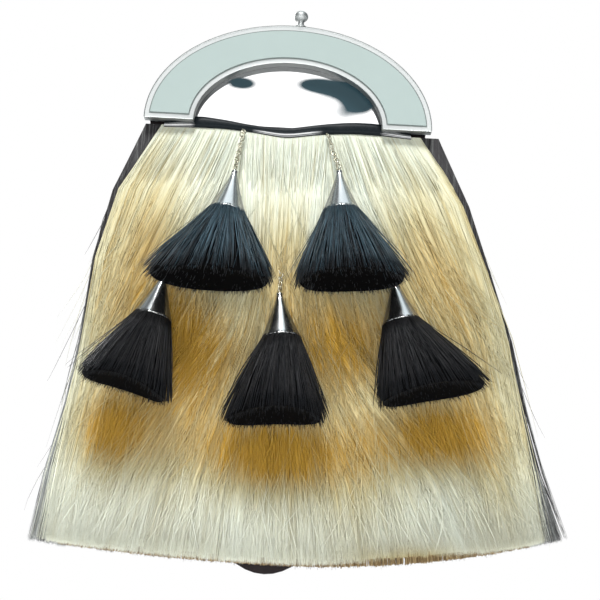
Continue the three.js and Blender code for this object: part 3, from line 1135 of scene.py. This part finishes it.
def brush_points(name, a, b, down, s, inside, stray=0.0, twist=0.0, tilt=0.0):
    """Where the hairs of a tassel lie.

    a and b are a hair's place in the cone's rim, from -1 to 1, to the right and to the front. down
    is how far along the full length a point lies and s how far along its own hair. inside is how
    deep in the cone the hair begins, stray moves a point sideways, and twist and tilt turn a hair
    by a few degrees.
    """
    place, cone_length = cone_frame(name)
    cone_swing, swing, fan, length, slant = BRUSHES[name]
    turn = np.radians(swing - cone_swing + fan * a + twist)
    pitch = np.radians(-FAN_BACK + (FAN_FRONT + FAN_BACK) * (b + 1) / 2 + tilt)
    reach = 1 + slant * a + LONGER_AT_SIDES * a ** 2
    reach = reach + LONGER_IN_FRONT * np.clip(b, 0, 1) + LONGER_BEHIND * np.clip(-b, 0, 1)
    along = down * length * MM * reach
    bow = 1 + 0.05 * np.sin(s * math.pi)
    local = np.stack([
        a * BRUSH_RADIUS + along * np.sin(turn) * bow + stray,
        -b * BRUSH_RADIUS - along * np.sin(pitch) * bow,
        inside - cone_length - along * np.cos(turn) * np.cos(pitch),
    ], -1)
    matrix = np.array(place)
    return local @ matrix[:3, :3].T + matrix[:3, 3]


def brush_paths(name, random, count, steps, arc=(0, 2 * math.pi), least=0.0, wander=0.5 * MM):
    """Strands that leave the rim of the cone in a disc and fan out below it.

    arc is the part of the rim that they leave from (a quarter turn is the front), least is the
    smallest share of its radius, and wander is how far a strand strays sideways by its tip.
    """
    radius = np.sqrt(random.uniform(0.0, 1.0, count))
    radius = np.where(random.random(count) < 0.7, 0.86 + 0.14 * radius, radius)
    radius = np.maximum(radius, least)
    angle = random.uniform(*arc, count)
    a, b = radius * np.cos(angle), radius * np.sin(angle)
    s = np.linspace(0, 1, steps)[None, :]
    twist = random.normal(0, 2.5, (count, 1))
    tilt = random.normal(0, 1.6, (count, 1))
    trimmed = 1 + random.normal(-0.008, 0.016, (count, 1))
    trimmed = trimmed - 0.35 * (random.random((count, 1)) < 0.15) * random.random((count, 1))
    wobble = np.sin(s * random.uniform(3, 8, (count, 1)) + random.uniform(0, 6, (count, 1)))
    stray = 0.6 * MM * s * wobble + random.normal(0, wander, (count, 1)) * s ** 1.4
    return brush_points(name, a[:, None], b[:, None], s * trimmed, s, 1.6 * MM, stray, twist, tilt)


# ---- Operators ----


class SPORRAN_OT_cantle(bpy.types.Operator):
    """Build the arched cantle: rimmed band, inlay and ball knob"""

    bl_idname = "sporran.cantle"
    bl_label = "Cantle"

    def band(self, outer, inner, low):
        """A flat half-elliptical band, cut off straight at its feet, drawn in x and z."""
        bm = bmesh.new()
        rings = []
        for half_width, rise in (outer, inner):
            made = bmesh.ops.create_circle(bm, cap_ends=False, segments=256, radius=1)["verts"]
            bmesh.ops.scale(bm, vec=(half_width, rise, 1), verts=made)
            rings.append(made)
        bmesh.ops.bridge_loops(bm, edges=bm.edges[:])
        everything = bm.verts[:] + bm.edges[:] + bm.faces[:]
        bmesh.ops.bisect_plane(
            bm,
            geom=everything,
            dist=1e-7,
            plane_co=(0, low, 0),
            plane_no=(0, -1, 0),
            clear_outer=True,
        )
        upright = Matrix.Rotation(math.pi / 2, 3, "X")
        bmesh.ops.rotate(bm, cent=(0, 0, 0), matrix=upright, verts=bm.verts)
        bmesh.ops.recalc_face_normals(bm, faces=bm.faces)
        if bm.faces[:][0].normal.y > 0:
            bmesh.ops.reverse_faces(bm, faces=bm.faces)
        return bm

    def execute(self, context):
        cantle = settings("sporran_cantle")
        low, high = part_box("cantle_frame")
        metal = satin_metal()
        rim = cantle.rim
        outer = (high.x, high.z)
        inner = (63 * MM, 43 * MM)

        bm = self.band(outer, inner, 0.0)
        bmesh.ops.translate(bm, vec=(0, low.y, 0), verts=bm.verts)
        made = bmesh.ops.inset_region(bm, faces=bm.faces[:], thickness=rim, use_even_offset=True)
        rim_faces = made["faces"]
        floor = [face for face in bm.faces if face not in set(rim_faces)]
        sunk = bmesh.ops.extrude_face_region(bm, geom=floor)
        bmesh.ops.delete(bm, geom=floor, context="FACES")
        bmesh.ops.translate(bm, vec=(0, cantle.recess + 0.5 * MM, 0), verts=new_verts(sunk))
        border = [edge for edge in bm.edges if edge.is_boundary]
        wall = bmesh.ops.extrude_edge_only(bm, edges=border)
        bmesh.ops.translate(bm, vec=(0, high.y - low.y, 0), verts=new_verts(wall))
        back = [edge for edge in bm.edges if edge.is_boundary]
        bmesh.ops.contextual_create(bm, geom=back)
        bmesh.ops.remove_doubles(bm, verts=bm.verts, dist=1e-6)
        bmesh.ops.recalc_face_normals(bm, faces=bm.faces)
        bevelled(bm, 50, 1.3 * MM, 6)
        from_bmesh(bm, "cantle_band", metal, sharp=40, replaces=["cantle_frame"], slot="polished_metal")

        bed = self.band((outer[0] - rim, outer[1] - rim), (inner[0] + rim, inner[1] + rim), rim)
        bmesh.ops.translate(bed, vec=(0, low.y + cantle.recess + 0.42 * MM, 0), verts=bed.verts)
        thickened(bed, 0.3 * MM)
        from_bmesh(bed, "cantle_groove", dark_groove_bed(), sharp=40, slot="polished_metal")

        gap = 0.85 * MM
        flat = self.band(
            (outer[0] - rim - gap, outer[1] - rim - gap),
            (inner[0] + rim + gap, inner[1] + rim + gap),
            rim + gap,
        )
        bmesh.ops.translate(flat, vec=(0, low.y + cantle.recess * 0.55, 0), verts=flat.verts)
        thickened(flat, 0.8 * MM)
        from_bmesh(flat, "cantle_inlay_plate", inlay(), sharp=40, replaces=["cantle_inlay"], slot="inlay")

        ball_low, ball_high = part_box("finial_knob")
        radius = (ball_high.x - ball_low.x) / 2
        height = 7.8 * MM
        neck = 3.8 * MM
        foot = ((0, -0.4), (4.4, -0.4), (4.1, 0.4), (2.7, 1.2), (2.1, 2.4))
        side = rounded([*((r * MM, h * MM) for r, h in foot), (2.3 * MM, neck)])
        for step in range(17):
            turn = math.radians(-62 + 152 * step / 16)
            side.append((radius * math.cos(turn), neck + height / 2 * (1 + math.sin(turn))))
        side[-1] = (0, side[-1][1])
        knob = spun(side)
        middle = (ball_low + ball_high) / 2
        bmesh.ops.translate(knob, vec=(middle.x, middle.y, ball_low.z), verts=knob.verts)
        from_bmesh(knob, "ball_knob", metal, sharp=60, replaces=["finial_knob"], slot="polished_metal")
        return {"FINISHED"}


class SPORRAN_OT_patent(bpy.types.Operator):
    """Build the glossy cushioned panel behind the cantle's opening and the wavy yoke"""

    bl_idname = "sporran.patent"
    bl_label = "Patent leather"

    def execute(self, context):
        cushion = 1.1 * MM
        low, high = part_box("front_panel")
        bm = bmesh.new()
        bmesh.ops.create_grid(bm, x_segments=128, y_segments=40, size=1)
        flat = np.array([vertex.co for vertex in bm.verts])
        turn = math.pi * (1 - flat[:, 0]) / 2
        share = (flat[:, 1] + 1) / 2
        x, z = high.x * share * np.cos(turn), high.z * share * np.sin(turn)
        y = low.y - cushion * (1 - share ** 2)
        for vertex, place in zip(bm.verts, np.stack([x, y, z], 1)):
            vertex.co = place
        bmesh.ops.remove_doubles(bm, verts=bm.verts, dist=1e-6)
        bmesh.ops.recalc_face_normals(bm, faces=bm.faces)
        if sum(face.normal.y for face in bm.faces) > 0:
            bmesh.ops.reverse_faces(bm, faces=bm.faces)
        for vertex in new_verts(bmesh.ops.extrude_face_region(bm, geom=bm.faces[:])):
            vertex.co.y = high.y
        bmesh.ops.recalc_face_normals(bm, faces=bm.faces)
        said = {"replaces": ["front_panel"], "slot": "patent_leather"}
        from_bmesh(bm, "patent_panel", patent(), sharp=50, **said)
        self.yoke(yoke_gloss())
        return {"FINISHED"}

    def yoke(self, gloss):
        """A rolled strip that follows the wave: a grid wrapped into a tube and closed at its ends."""
        low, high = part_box("yoke")
        middle_y = (low.y + high.y) / 2
        xs, bottoms, tops = (np.array([row[i] for row in YOKE_ROWS], float) for i in range(3))
        bm = bmesh.new()
        bmesh.ops.create_grid(bm, x_segments=150, y_segments=24, size=1)
        rise = bm.verts.layers.float.new("rise")
        for vertex in bm.verts:
            x = xs[0] + (xs[-1] - xs[0]) * (vertex.co.x + 1) / 2
            near = np.linspace(x - 7, x + 7, 9)
            bottom, top = np.interp(near, xs, bottoms).mean(), np.interp(near, xs, tops).mean()
            angle = math.pi * vertex.co.y
            up, out = math.sin(angle), math.cos(angle)
            size = (abs(up) ** 3 + abs(out) ** 3) ** (-1 / 3)
            half = (top - bottom) / 2
            upright = max(1 - max(abs(x) - 26, 0) / 9, min(max(abs(x) - 60, 0) / 5, 1), 0)
            lean = (0.24 - 0.08 * upright) * half * up * size
            vertex[rise] = up * size
            vertex.co = Vector((
                x * MM,
                middle_y + (lean - 1.75 * out * size) * MM,
                (bottom + half + half * up * size) * MM,
            ))
        bmesh.ops.remove_doubles(bm, verts=bm.verts, dist=1e-6)
        bmesh.ops.holes_fill(bm, edges=bm.edges, sides=0)
        bmesh.ops.recalc_face_normals(bm, faces=bm.faces)
        from_bmesh(bm, "patent_yoke", gloss, sharp=60, replaces=["yoke"], slot="patent_leather")


class SPORRAN_OT_skirt(bpy.types.Operator):
    """Comb the white skirt and the dark layer behind it"""

    bl_idname = "sporran.skirt"
    bl_label = "Hair skirt"

    def execute(self, context):
        hair = settings("sporran_hair")
        white = skirt_hair()
        dark = plain_hair("dark_horsehair", hair.dark, (0.12, 0.112, 0.115), 0.55, 0.1)
        grey = plain_hair("grey_horsehair", (0.03, 0.028, 0.03), (0.85, 0.88, 0.85), 0.5, 0.2)
        random = np.random.default_rng(11)
        share = 1.0

        said = {"replaces": ["white_hair"], "slot": "white_horsehair"}
        skirt_body("skirt_form", WHITE_ROWS, WHITE_BACK, 1.6 * MM, 0.985, white, **said)
        said = {"replaces": ["dark_hair"], "slot": "dark_horsehair"}
        skirt_body("dark_form", DARK_ROWS, DARK_BACK, 0.8 * MM, 0.955, dark, **said)
        layers = (
            # name, lift in mm, clumps, wander, parting, trim
            ("skirt_inner", -0.9, 300, 0.010, 0.15, 0.6),
            ("skirt_middle", 0.2, 260, 0.016, 0.75, 1.0),
            ("skirt_outer", 1.3, 220, 0.020, 1.0, 1.0),
        )
        for name, lift, clumps, wander, parting, trim in layers:
            count = int(hair.skirt_locks * share * (0.9 if name == "skirt_inner" else 1.0))
            paths, tones = skirt_paths(
                random, WHITE_ROWS, WHITE_BACK, count, 7, lift * MM, clumps, wander, parting, trim
            )
            widths = tapered(count, 7, hair.strand, random)
            strands(name, paths, widths, tones, white, slot="white_horsehair")

        layer = (random, DARK_ROWS, DARK_BACK)
        count = int(hair.dark_locks * share)
        paths, tones = skirt_paths(*layer, count, 7, 0.2 * MM, 150, 0.012, 0.0, side=0.8)
        widths = tapered(count, 7, hair.strand, random)
        strands("dark_strands", paths, widths, tones, dark, slot="dark_horsehair")

        count = int(hair.grey_locks * share)
        paths, tones = skirt_paths(*layer, count, 7, 1.2 * MM, 90, 0.016, 0.0, side=1.0)
        tones["tone"] = tones["tone"][:, None] ** 0.5 * smooth_step(tones["down"], 0.3, 0.75)
        widths = tapered(count, 7, hair.strand, random)
        strands("grey_strands", paths, widths, tones, grey, slot="dark_horsehair")

        count = int(hair.back_locks * share)
        paths, tones = skirt_paths(*layer, count, 6, 0, 150, 0.012, 0.0)
        depth = DARK_BACK - random.uniform(0.1, 1.1, (count, 1)) * MM
        paths[:, :, 1] = sweep_back(paths[:, :, 0], paths[:, :, 2]) - depth
        widths = tapered(count, 6, 1.5 * hair.strand, random)
        strands("dark_back", paths, widths, tones, dark, facing=(0, 1, 0), slot="dark_horsehair")

        # Painted shade: the brown of the inner hair's ends along the hem stands in for shade.
        shadow = plain_hair("shaded_hem_hair", (0.16, 0.10, 0.04), (0.46, 0.34, 0.17), 0.6)
        self.underside(random, shadow, int(hair.hem_ends * share))
        self.loose(random, white, int(hair.loose_hairs * share))
        self.astray(random, white, dark)
        return {"FINISHED"}

    def loose(self, random, white, count):
        """Single hairs that lie across the combed locks."""
        s = np.linspace(0, 1, 6)[None, :]
        length = random.uniform(30, 100, (count, 1)) * MM
        lowest = random.uniform(0.2, 1.0, (count, 1)) ** 0.6 * 0.99
        down = lowest - (1 - s) * length / (HAIR_FALL * MM)
        below_yoke = (down > 0.05).all(1)
        length, down = length[below_yoke], down[below_yoke]
        count = len(down)
        across = random.uniform(-0.95, 0.95, (count, 1))
        _, left, right = skirt_width(WHITE_ROWS, down)
        lean = np.radians(across * 20 + random.normal(0, 15, (count, 1)))
        x = left + (right - left) * (across + 1) / 2
        x = x + (s - 0.5) * length * np.tan(lean)
        x = x + random.normal(0, 0.12, (count, 1)) * length * (s - 0.5) ** 2
        lift = (2.6 + 1.5 * random.random((count, 1)) - 3.4 * (1 - s) ** 3) * MM
        points = skirt_point(WHITE_ROWS, WHITE_BACK, np.clip(x, left, right), down, lift)
        widths = tapered(count, 6, 0.2 * MM, random, 0.3, 0.3)
        tones = {
            "tone": random.uniform(0.55, 1.0, count),
            "warmth": random.uniform(0, 0.6, count),
            "across": random.uniform(-1, 1, count),
            "down": down,
        }
        strands("loose_hairs", points, widths, tones, white, columns=64, slot="white_horsehair")

    def underside(self, random, shadow, count):
        """The ends of the hair within, which show along the hem, painted brown as hair in shade."""
        s = np.linspace(0.9, 1, 3)[None, :]
        across = random.uniform(-0.96, 0.96, (count, 1))
        down = s * (1 + random.normal(0, 0.0012, (count, 1)))
        _, left, right = skirt_width(WHITE_ROWS, down)
        x = left + (right - left) * (across + 1) / 2
        depth = random.uniform(1.5, 4.0, (count, 1)) * MM
        points = skirt_point(WHITE_ROWS, WHITE_BACK, x, down, -depth)
        widths = tapered(count, 3, 0.4 * MM, random, 1.0, 0.8)
        tones = {"tone": random.random(count)}
        said = {"columns": 64, "slot": "white_horsehair"}
        strands("hem_underside", points, widths, tones, shadow, **said)

    def astray(self, random, white, dark):
        """Long hairs that stand out past the sides of the skirt."""
        count = settings("sporran_hair").strays
        for name, material in (("stray_white", white), ("stray_dark", dark)):
            s = np.linspace(0, 1, 9)[None, :]
            side = np.where(random.random((count, 1)) < 0.45, -1, 1)
            begin = random.uniform(0.05, 0.8, (count, 1))
            length = random.uniform(18, 75, (count, 1)) * MM
            _, left, right = skirt_width(DARK_ROWS, begin)
            x = np.where(side < 0, left, right) - side * 3 * MM
            lean = np.radians(random.uniform(4, 24, (count, 1)))
            hook = random.uniform(-0.3, 0.7, (count, 1))
            out = side * length * (s * np.sin(lean) - hook * 0.35 * s ** 2.2)
            wave = np.sin(s * random.uniform(3, 8, (count, 1)) + random.uniform(0, 6, (count, 1)))
            out = out + random.uniform(0.4, 2.2, (count, 1)) * MM * s * wave
            fall = length * s * np.cos(lean)
            z = skirt_point(DARK_ROWS, DARK_BACK, x, begin, 0)[:, :, 2] - fall
            x = np.clip(x + out, CAD_BOUNDS[0].x - FARTHEST, CAD_BOUNDS[1].x + FARTHEST)
            z = np.maximum(z, CAD_BOUNDS[0].z - 6 * MM)
            y = sweep_back(x, z) - DARK_BACK - random.uniform(0, 3, (count, 1)) * MM + 2 * MM * s
            widths = tapered(count, 9, 0.15 * MM, random, 0.9, 0.3)
            tones = {"tone": random.uniform(0.2, 0.9, count), "warmth": random.uniform(0, 0.5, count)}
            points = np.stack([x, y, z], -1)
            strands(name, points, widths, tones, material, columns=8, slot="dark_horsehair")


class SPORRAN_OT_tassels(bpy.types.Operator):
    """Build the five cones, their chains and their brushes of black hair"""

    bl_idname = "sporran.tassels"
    bl_label = "Tassels"

    def cone(self, name, metal):
        """A hollow cone with a small collar at its tip and a turned rim."""
        place, length = cone_frame(name)
        r = 13 * MM
        outside = [
            (0, 0.2 * MM),
            (1.7 * MM, 0.1 * MM),
            (2.1 * MM, -0.9 * MM),
            (1.9 * MM, -2.2 * MM),
            (r * 0.24, -length * 0.22),
            (r * 0.46, -length * 0.46),
            (r * 0.72, -length * 0.73),
            (r * 0.955, -length * 0.955),
            (r * 1.0, -length * 0.985),
            (r * 0.99, -length),
        ]
        inside = [
            (r * 0.93, -length),
            (r * 0.9, -length * 0.95),
            (r * 0.4, -length * 0.45),
            (0, -length * 0.3),
        ]
        bm = spun(rounded(outside + inside, 2), 48)
        # This layer marks the cone's sides as seen from the front, where the chrome is painted darker as a
        # painted dark reflection.
        flank = bm.verts.layers.float.new("flank")
        for vertex in bm.verts:
            across, deep, _ = vertex.co
            vertex[flank] = abs(across) / max(math.hypot(across, deep), 0.1 * MM)
        bmesh.ops.transform(bm, matrix=place, verts=bm.verts)
        said = {"replaces": [f"cone_{name}"], "slot": "polished_metal"}
        from_bmesh(bm, f"cone_shell_{name}", metal, sharp=50, **said)

    def chain(self, name, metal):
        """Oval links along the chain's route, each turned a quarter from the last."""
        points = node_points(f"chain_{name}")
        levels = np.linspace(points[:, 2].max() - 1 * MM, points[:, 2].min() + 0.6 * MM, 40)
        line = np.array([points[np.argsort(np.abs(points[:, 2] - z))[:12]].mean(0) for z in levels])
        near_cone, below_yoke = 1.0, 1.0
        if name.startswith("lower"):
            near_cone = smooth_step(np.linspace(0, 1, len(levels)), 0.84, 0.92)
            below_yoke = smooth_step(np.linspace(0, 1, len(levels)), 0.0, 0.4)
        line[:, 1] += (1.2 - 2.6 * near_cone + 4.4 * (1 - below_yoke)) * MM
        for _ in range(4):
            line[1:-1] = (line[:-2] + line[1:-1] * 2 + line[2:]) / 4
        steps = lengths_along(line)
        pitch = 3.5 * MM
        links = max(3, round(steps[-1] / pitch))
        one = self.link()
        bm = bmesh.new()
        for i in range(links):
            middle = (i + 0.5) / links * steps[-1]
            behind, here, ahead = (
                point_along(line, steps, middle + away * pitch) for away in (-0.5, 0, 0.5)
            )
            quarter = math.radians(40 + 90 * (i % 2) + 14 * math.sin(i * 2.3))
            turn = (ahead - behind).to_track_quat("Z", "X").to_matrix()
            turn = turn @ Matrix.Rotation(quarter, 3, "Z")
            first = len(bm.verts)
            bm.from_mesh(one)
            bm.verts.ensure_lookup_table()
            place = Matrix.Translation(here) @ turn.to_4x4()
            bmesh.ops.transform(bm, matrix=place, verts=bm.verts[first:])
        bpy.data.meshes.remove(one)
        said = {"replaces": [f"chain_{name}"], "slot": "polished_metal"}
        from_bmesh(bm, f"chain_links_{name}", metal, **said)

    def link(self):
        """One closed oval link: a wire ring stretched along Z."""
        bm = bmesh.new()
        wire = bmesh.ops.create_circle(bm, cap_ends=False, segments=5, radius=0.42 * MM)["verts"]
        bmesh.ops.translate(bm, vec=(1.55 * MM, 0, 0), verts=wire)
        bmesh.ops.spin(
            bm,
            geom=bm.verts[:] + bm.edges[:],
            axis=(0, 1, 0),
            cent=(0, 0, 0),
            steps=12,
            angle=2 * math.pi,
            use_merge=True,
        )
        bmesh.ops.scale(bm, vec=(1, 1, 1.36), verts=bm.verts)
        bmesh.ops.recalc_face_normals(bm, faces=bm.faces)
        mesh = bpy.data.meshes.new("link")
        bm.to_mesh(mesh)
        bm.free()
        return mesh

    def brush(self, name, black, shaded_cut_ends, random):
        """A tassel: a closed core whose cut ends are painted near black as painted shade, and the hairs
        round it.
        """
        hair = settings("sporran_hair")
        count = int(hair.brush_locks * (1.0))
        bm = bmesh.new()
        bmesh.ops.create_cone(
            bm, cap_ends=True, cap_tris=True, segments=40, radius1=1, radius2=1, depth=2
        )
        sides = [edge for edge in bm.edges if abs(edge.verts[0].co.z - edge.verts[1].co.z) > 1]
        bmesh.ops.subdivide_edges(bm, edges=sides, cuts=9)
        right, back, above = np.array([vertex.co for vertex in bm.verts]).T
        s = (1 - above) / 2
        points = brush_points(name, right * 0.95, back * -0.93, s * 0.985, s, 1.8 * MM)
        for vertex, point in zip(bm.verts, points):
            vertex.co = point
        bmesh.ops.recalc_face_normals(bm, faces=bm.faces)
        said = {"replaces": [f"tassel_{name}"], "slot": "black_horsehair"}
        even_layer(from_bmesh(bm, f"brush_core_{name}", shaded_cut_ends, sharp=60, **said), "tone", 0.05)
        paths = brush_paths(name, random, count, 6)
        widths = tapered(count, 6, 0.31 * MM, random, 0.6, 0.35)
        # Painted shade: the tone falls to none towards the strand ends, so no glint is painted on the cut
        # ends.
        ends = smooth_step(np.linspace(0, 1, 6)[None, :], 0.7, 1.0)
        tones = {"tone": random.uniform(0.25, 1.0, (count, 1)) * (1 - ends)}
        strands(f"brush_hair_{name}", paths, widths, tones, black, columns=64, slot="black_horsehair")
        self.wisps(name, random, black)

    def wisps(self, name, random, black):
        """Finer, paler hairs that cross each other over the front of a tassel."""
        count = settings("sporran_hair").wisps
        front = (0.12 * math.pi, 0.88 * math.pi)
        paths = brush_paths(name, random, count, 6, front, least=1.0, wander=5.5 * MM)
        paths[:, :, 1] -= 0.5 * MM
        widths = tapered(count, 6, 0.13 * MM, random, 0.7, 0.35)
        tones = {"tone": random.uniform(0.5, 1.0, count)}
        strands(f"brush_wisps_{name}", paths, widths, tones, black, columns=16, slot="black_horsehair")

    def execute(self, context):
        metal = chrome()
        wire = chain_metal()
        hair = settings("sporran_hair")
        # Painted sheen: the upper tassels mix a bluish glint colour into their hair; the lower ones use a
        # shaded copy with almost no glint.
        glossy = plain_hair("black_horsehair", hair.black, (0.070, 0.128, 0.165), 0.42, 0.25)
        dull = plain_hair("shaded_black_horsehair", hair.black, (0.030, 0.029, 0.030), 0.5, 0.12)
        # Painted shade: the tassels' cores and cut ends are near black, darker than their hair.
        cut = plain_hair("shaded_cut_hair_ends", (0.0018, 0.0018, 0.002), (0.012, 0.011, 0.011), 0.8, 0.02)
        random = np.random.default_rng(23)
        for name in TASSELS:
            self.cone(name, metal)
            self.chain(name, wire)
            self.brush(name, glossy if name.startswith("upper") else dull, cut, random)
        return {"FINISHED"}


class SPORRAN_OT_pouch(bpy.types.Operator):
    """Build the leather bag behind the hair, with its flap, loops and stitching"""

    bl_idname = "sporran.pouch"
    bl_label = "Leather pouch"

    def softened(self, node, name, material, radius, slot="leather"):
        """A copy of a packed leather piece with its edges rounded over."""
        bm = bmesh.new()
        bm.from_mesh(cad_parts[node].data)
        bmesh.ops.remove_doubles(bm, verts=bm.verts, dist=1e-6)
        bmesh.ops.dissolve_limit(
            bm,
            angle_limit=math.radians(1),
            use_dissolve_boundaries=False,
            verts=bm.verts,
            edges=bm.edges,
        )
        bevelled(bm, 40, radius, 3)
        bmesh.ops.triangulate(bm, faces=[face for face in bm.faces if len(face.verts) > 4])
        return from_bmesh(bm, name, material, sharp=50, replaces=[node], slot=slot)

    def execute(self, context):
        hide = leather()
        for node, name, radius in (
            ("pouch_back", "bag_back", 0.7),
            ("pouch_front", "bag_front", 0.7),
            ("pouch_gusset", "bag_gusset", 0.3),
            ("pouch_flap", "bag_flap", 0.7),
            ("strap_loop_left", "hanging_loop_left", 0.5),
            ("strap_loop_right", "hanging_loop_right", 0.5),
        ):
            self.softened(node, name, hide, radius * MM)
        lines = [outline("pouch_back", 0.05 * MM, 4.5 * MM)]
        _, flap_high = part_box("pouch_flap")
        lines.append(outline("pouch_flap", flap_high.y + 0.05 * MM, 3.5 * MM))
        across = flap_high.x - 8 * MM
        top = flap_high.z - 7 * MM
        lines.append([(-across, flap_high.y + 0.05 * MM, top), (across, flap_high.y + 0.05 * MM, top)])
        for side in ("left", "right"):
            low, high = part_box(f"strap_loop_{side}")
            foot = low.y + 2.05 * MM
            for z in (low.z + 2 * MM, low.z + 6 * MM, high.z - 6 * MM, high.z - 2 * MM):
                lines.append([(low.x + 2 * MM, foot, z), (high.x - 2 * MM, foot, z)])
        stitched("stitching", lines, settings("sporran_leather").stitch_pitch, thread())
        low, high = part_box("flap_stud")
        side = [(0, 4.1), (2.4, 3.9), (5.2, 3.1), (6, 2.0), (5.6, 1.2), (3.2, 1.1), (3.0, 0), (0, 0)]
        stud = spun(rounded([(r * MM, h * MM) for r, h in side][::-1]))
        turn = Matrix.Rotation(-math.pi / 2, 4, "X")
        bmesh.ops.transform(stud, matrix=turn, verts=stud.verts)
        middle = (low + high) / 2
        bmesh.ops.translate(stud, vec=(middle.x, low.y, middle.z), verts=stud.verts)
        from_bmesh(stud, "closing_stud", chrome(), sharp=60, replaces=["flap_stud"], slot="polished_metal")
        return {"FINISHED"}


class SPORRAN_OT_stage(bpy.types.Operator):
    """Set the pale floor, the soft studio light and the camera"""

    bl_idname = "sporran.stage"
    bl_label = "Stage"

    def soft_light(self, name, place, target, size, power):
        lamp = bpy.data.lights.new(name, "AREA")
        lamp.shape = "RECTANGLE"
        lamp.size, lamp.size_y = size
        lamp.energy = power
        light = bpy.data.objects.new(name, lamp)
        light.location = place
        light.rotation_euler = (Vector(target) - Vector(place)).to_track_quat("-Z", "Y").to_euler()
        bpy.context.scene.collection.objects.link(light)

    def sky_light(self, stage):
        """One wide soft light from high in front, the same over the whole piece and the floor."""
        lamp = bpy.data.lights.new("overhead", "SUN")
        lamp.energy = stage.overhead
        lamp.angle = math.radians(17)
        light = bpy.data.objects.new("overhead", lamp)
        shines = Vector((0.1, 0.49, -0.87))
        light.rotation_euler = shines.to_track_quat("-Z", "Y").to_euler()
        bpy.context.scene.collection.objects.link(light)

    def floor(self):
        bm = bmesh.new()
        bmesh.ops.create_grid(bm, x_segments=1, y_segments=1, size=12)
        bmesh.ops.translate(bm, vec=(0, 0, CAD_BOUNDS[0].z - 0.45), verts=bm.verts)
        mesh = bpy.data.meshes.new("floor")
        bm.to_mesh(mesh)
        bm.free()
        finish = Finish("floor", **{"Base Color": (0.86, 0.86, 0.86), "Roughness": 0.8})
        mesh.materials.append(finish.material)
        floor = bpy.data.objects.new("floor", mesh)
        bpy.context.scene.collection.objects.link(floor)

    def world(self):
        """Even white behind the object; what the metal mirrors has darker sides."""
        world = bpy.data.worlds.new("studio")
        bpy.context.scene.world = world
        world.use_nodes = True
        sky = Nodes(world.node_tree)
        _, (x, _, z) = sky.place("Generated")
        dark_sides = [(0.0, 0.16), (0.35, 0.18), (0.55, 0.05), (0.85, 0.06), (1.0, 0.3)]
        walls = sky.ramp(x.magnitude(), dark_sides)
        left = [(0.10, 0.9), (0.2, 0.5), (0.27, 0.1), (0.36, 0.08)]
        right = [(0.41, 1.0), (0.66, 1.0), (0.70, 0.12), (0.76, 0.1), (0.82, 0.6), (0.92, 0.9)]
        ceiling = sky.ramp(x * 0.5 + 0.5, [*left, *right])
        overhead = ((z - 0.66) * 7).kept_in_range()
        lift = Value(sky, walls) * (1 - overhead) + Value(sky, ceiling) * overhead * 0.9 + 0.03
        sight = Value(sky, sky.node("ShaderNodeLightPath").outputs["Is Camera Ray"])
        background = sky.node(
            "ShaderNodeBackground",
            inputs={
                "Color": sky.mix(sight, (0.84, 0.95, 1.0), (1.0, 1.0, 1.0)),
                "Strength": sight + (1 - sight) * lift,
            },
        )
        output = sky.node("ShaderNodeOutputWorld")
        sky.tree.links.new(background.outputs[0], output.inputs["Surface"])

    def camera(self):
        stage = settings("sporran_stage")
        low, high = CAD_BOUNDS
        aim = (low + high) / 2 + Vector(stage.aim)
        ahead = Vector((0, math.cos(stage.rise), math.sin(stage.rise)))
        level = Vector((1, 0, 0))
        upright = level.cross(ahead)
        right = level * math.cos(stage.roll) + upright * math.sin(stage.roll)
        above = right.cross(ahead)
        eye = bpy.data.objects.new("camera", bpy.data.cameras.new("camera"))
        turn = Matrix((right, above, -ahead)).transposed().to_4x4()
        eye.matrix_world = Matrix.Translation(aim - ahead * stage.distance) @ turn
        eye.data.lens = stage.lens
        bpy.context.scene.collection.objects.link(eye)
        bpy.context.scene.camera = eye

    def execute(self, context):
        stage = settings("sporran_stage")
        self.camera()
        self.floor()
        self.world()
        self.sky_light(stage)
        self.soft_light("front", (0.02, -1.30, 0.41), (0, -0.02, 0.02), (0.62, 0.48), stage.front)
        self.soft_light("low", (0.0, -1.15, -0.70), (0, 0, -0.2), (1.6, 0.8), stage.low)
        self.soft_light("behind", (-0.9, 1.2, 0.7), (0, 0, -0.1), (0.9, 0.9), stage.behind)
        bpy.context.scene.view_settings.view_transform = "Standard"
        return {"FINISHED"}


class SPORRAN_PT_panel(bpy.types.Panel):
    """Sidebar panel that lists the pieces."""

    bl_idname = "SPORRAN_PT_panel"
    bl_label = "Sporran"
    bl_space_type = "VIEW_3D"
    bl_region_type = "UI"
    bl_category = "Sporran"

    def draw(self, context):
        for step in STEPS:
            self.layout.operator(step.bl_idname)
        for name in GROUPS:
            box = self.layout.box()
            group = getattr(context.scene, name)
            for key in group.__annotations__:
                box.prop(group, key)


GROUPS = {
    "sporran_cantle": CantleSettings,
    "sporran_leather": LeatherSettings,
    "sporran_hair": HairSettings,
    "sporran_stage": StageSettings,
}
STEPS = (
    SPORRAN_OT_stage,
    SPORRAN_OT_cantle,
    SPORRAN_OT_patent,
    SPORRAN_OT_pouch,
    SPORRAN_OT_skirt,
    SPORRAN_OT_tassels,
)
CLASSES = (*GROUPS.values(), *STEPS, SPORRAN_PT_panel)


def register():
    for cls in CLASSES:
        bpy.utils.register_class(cls)
    for name, group in GROUPS.items():
        setattr(bpy.types.Scene, name, bpy.props.PointerProperty(type=group))


def unregister():
    for name in GROUPS:
        delattr(bpy.types.Scene, name)
    for cls in reversed(CLASSES):
        bpy.utils.unregister_class(cls)


def main():
    register()
    for step in STEPS:
        group, name = step.bl_idname.split(".")
        getattr(getattr(bpy.ops, group), name)()


if __name__ == "__main__":
    main()
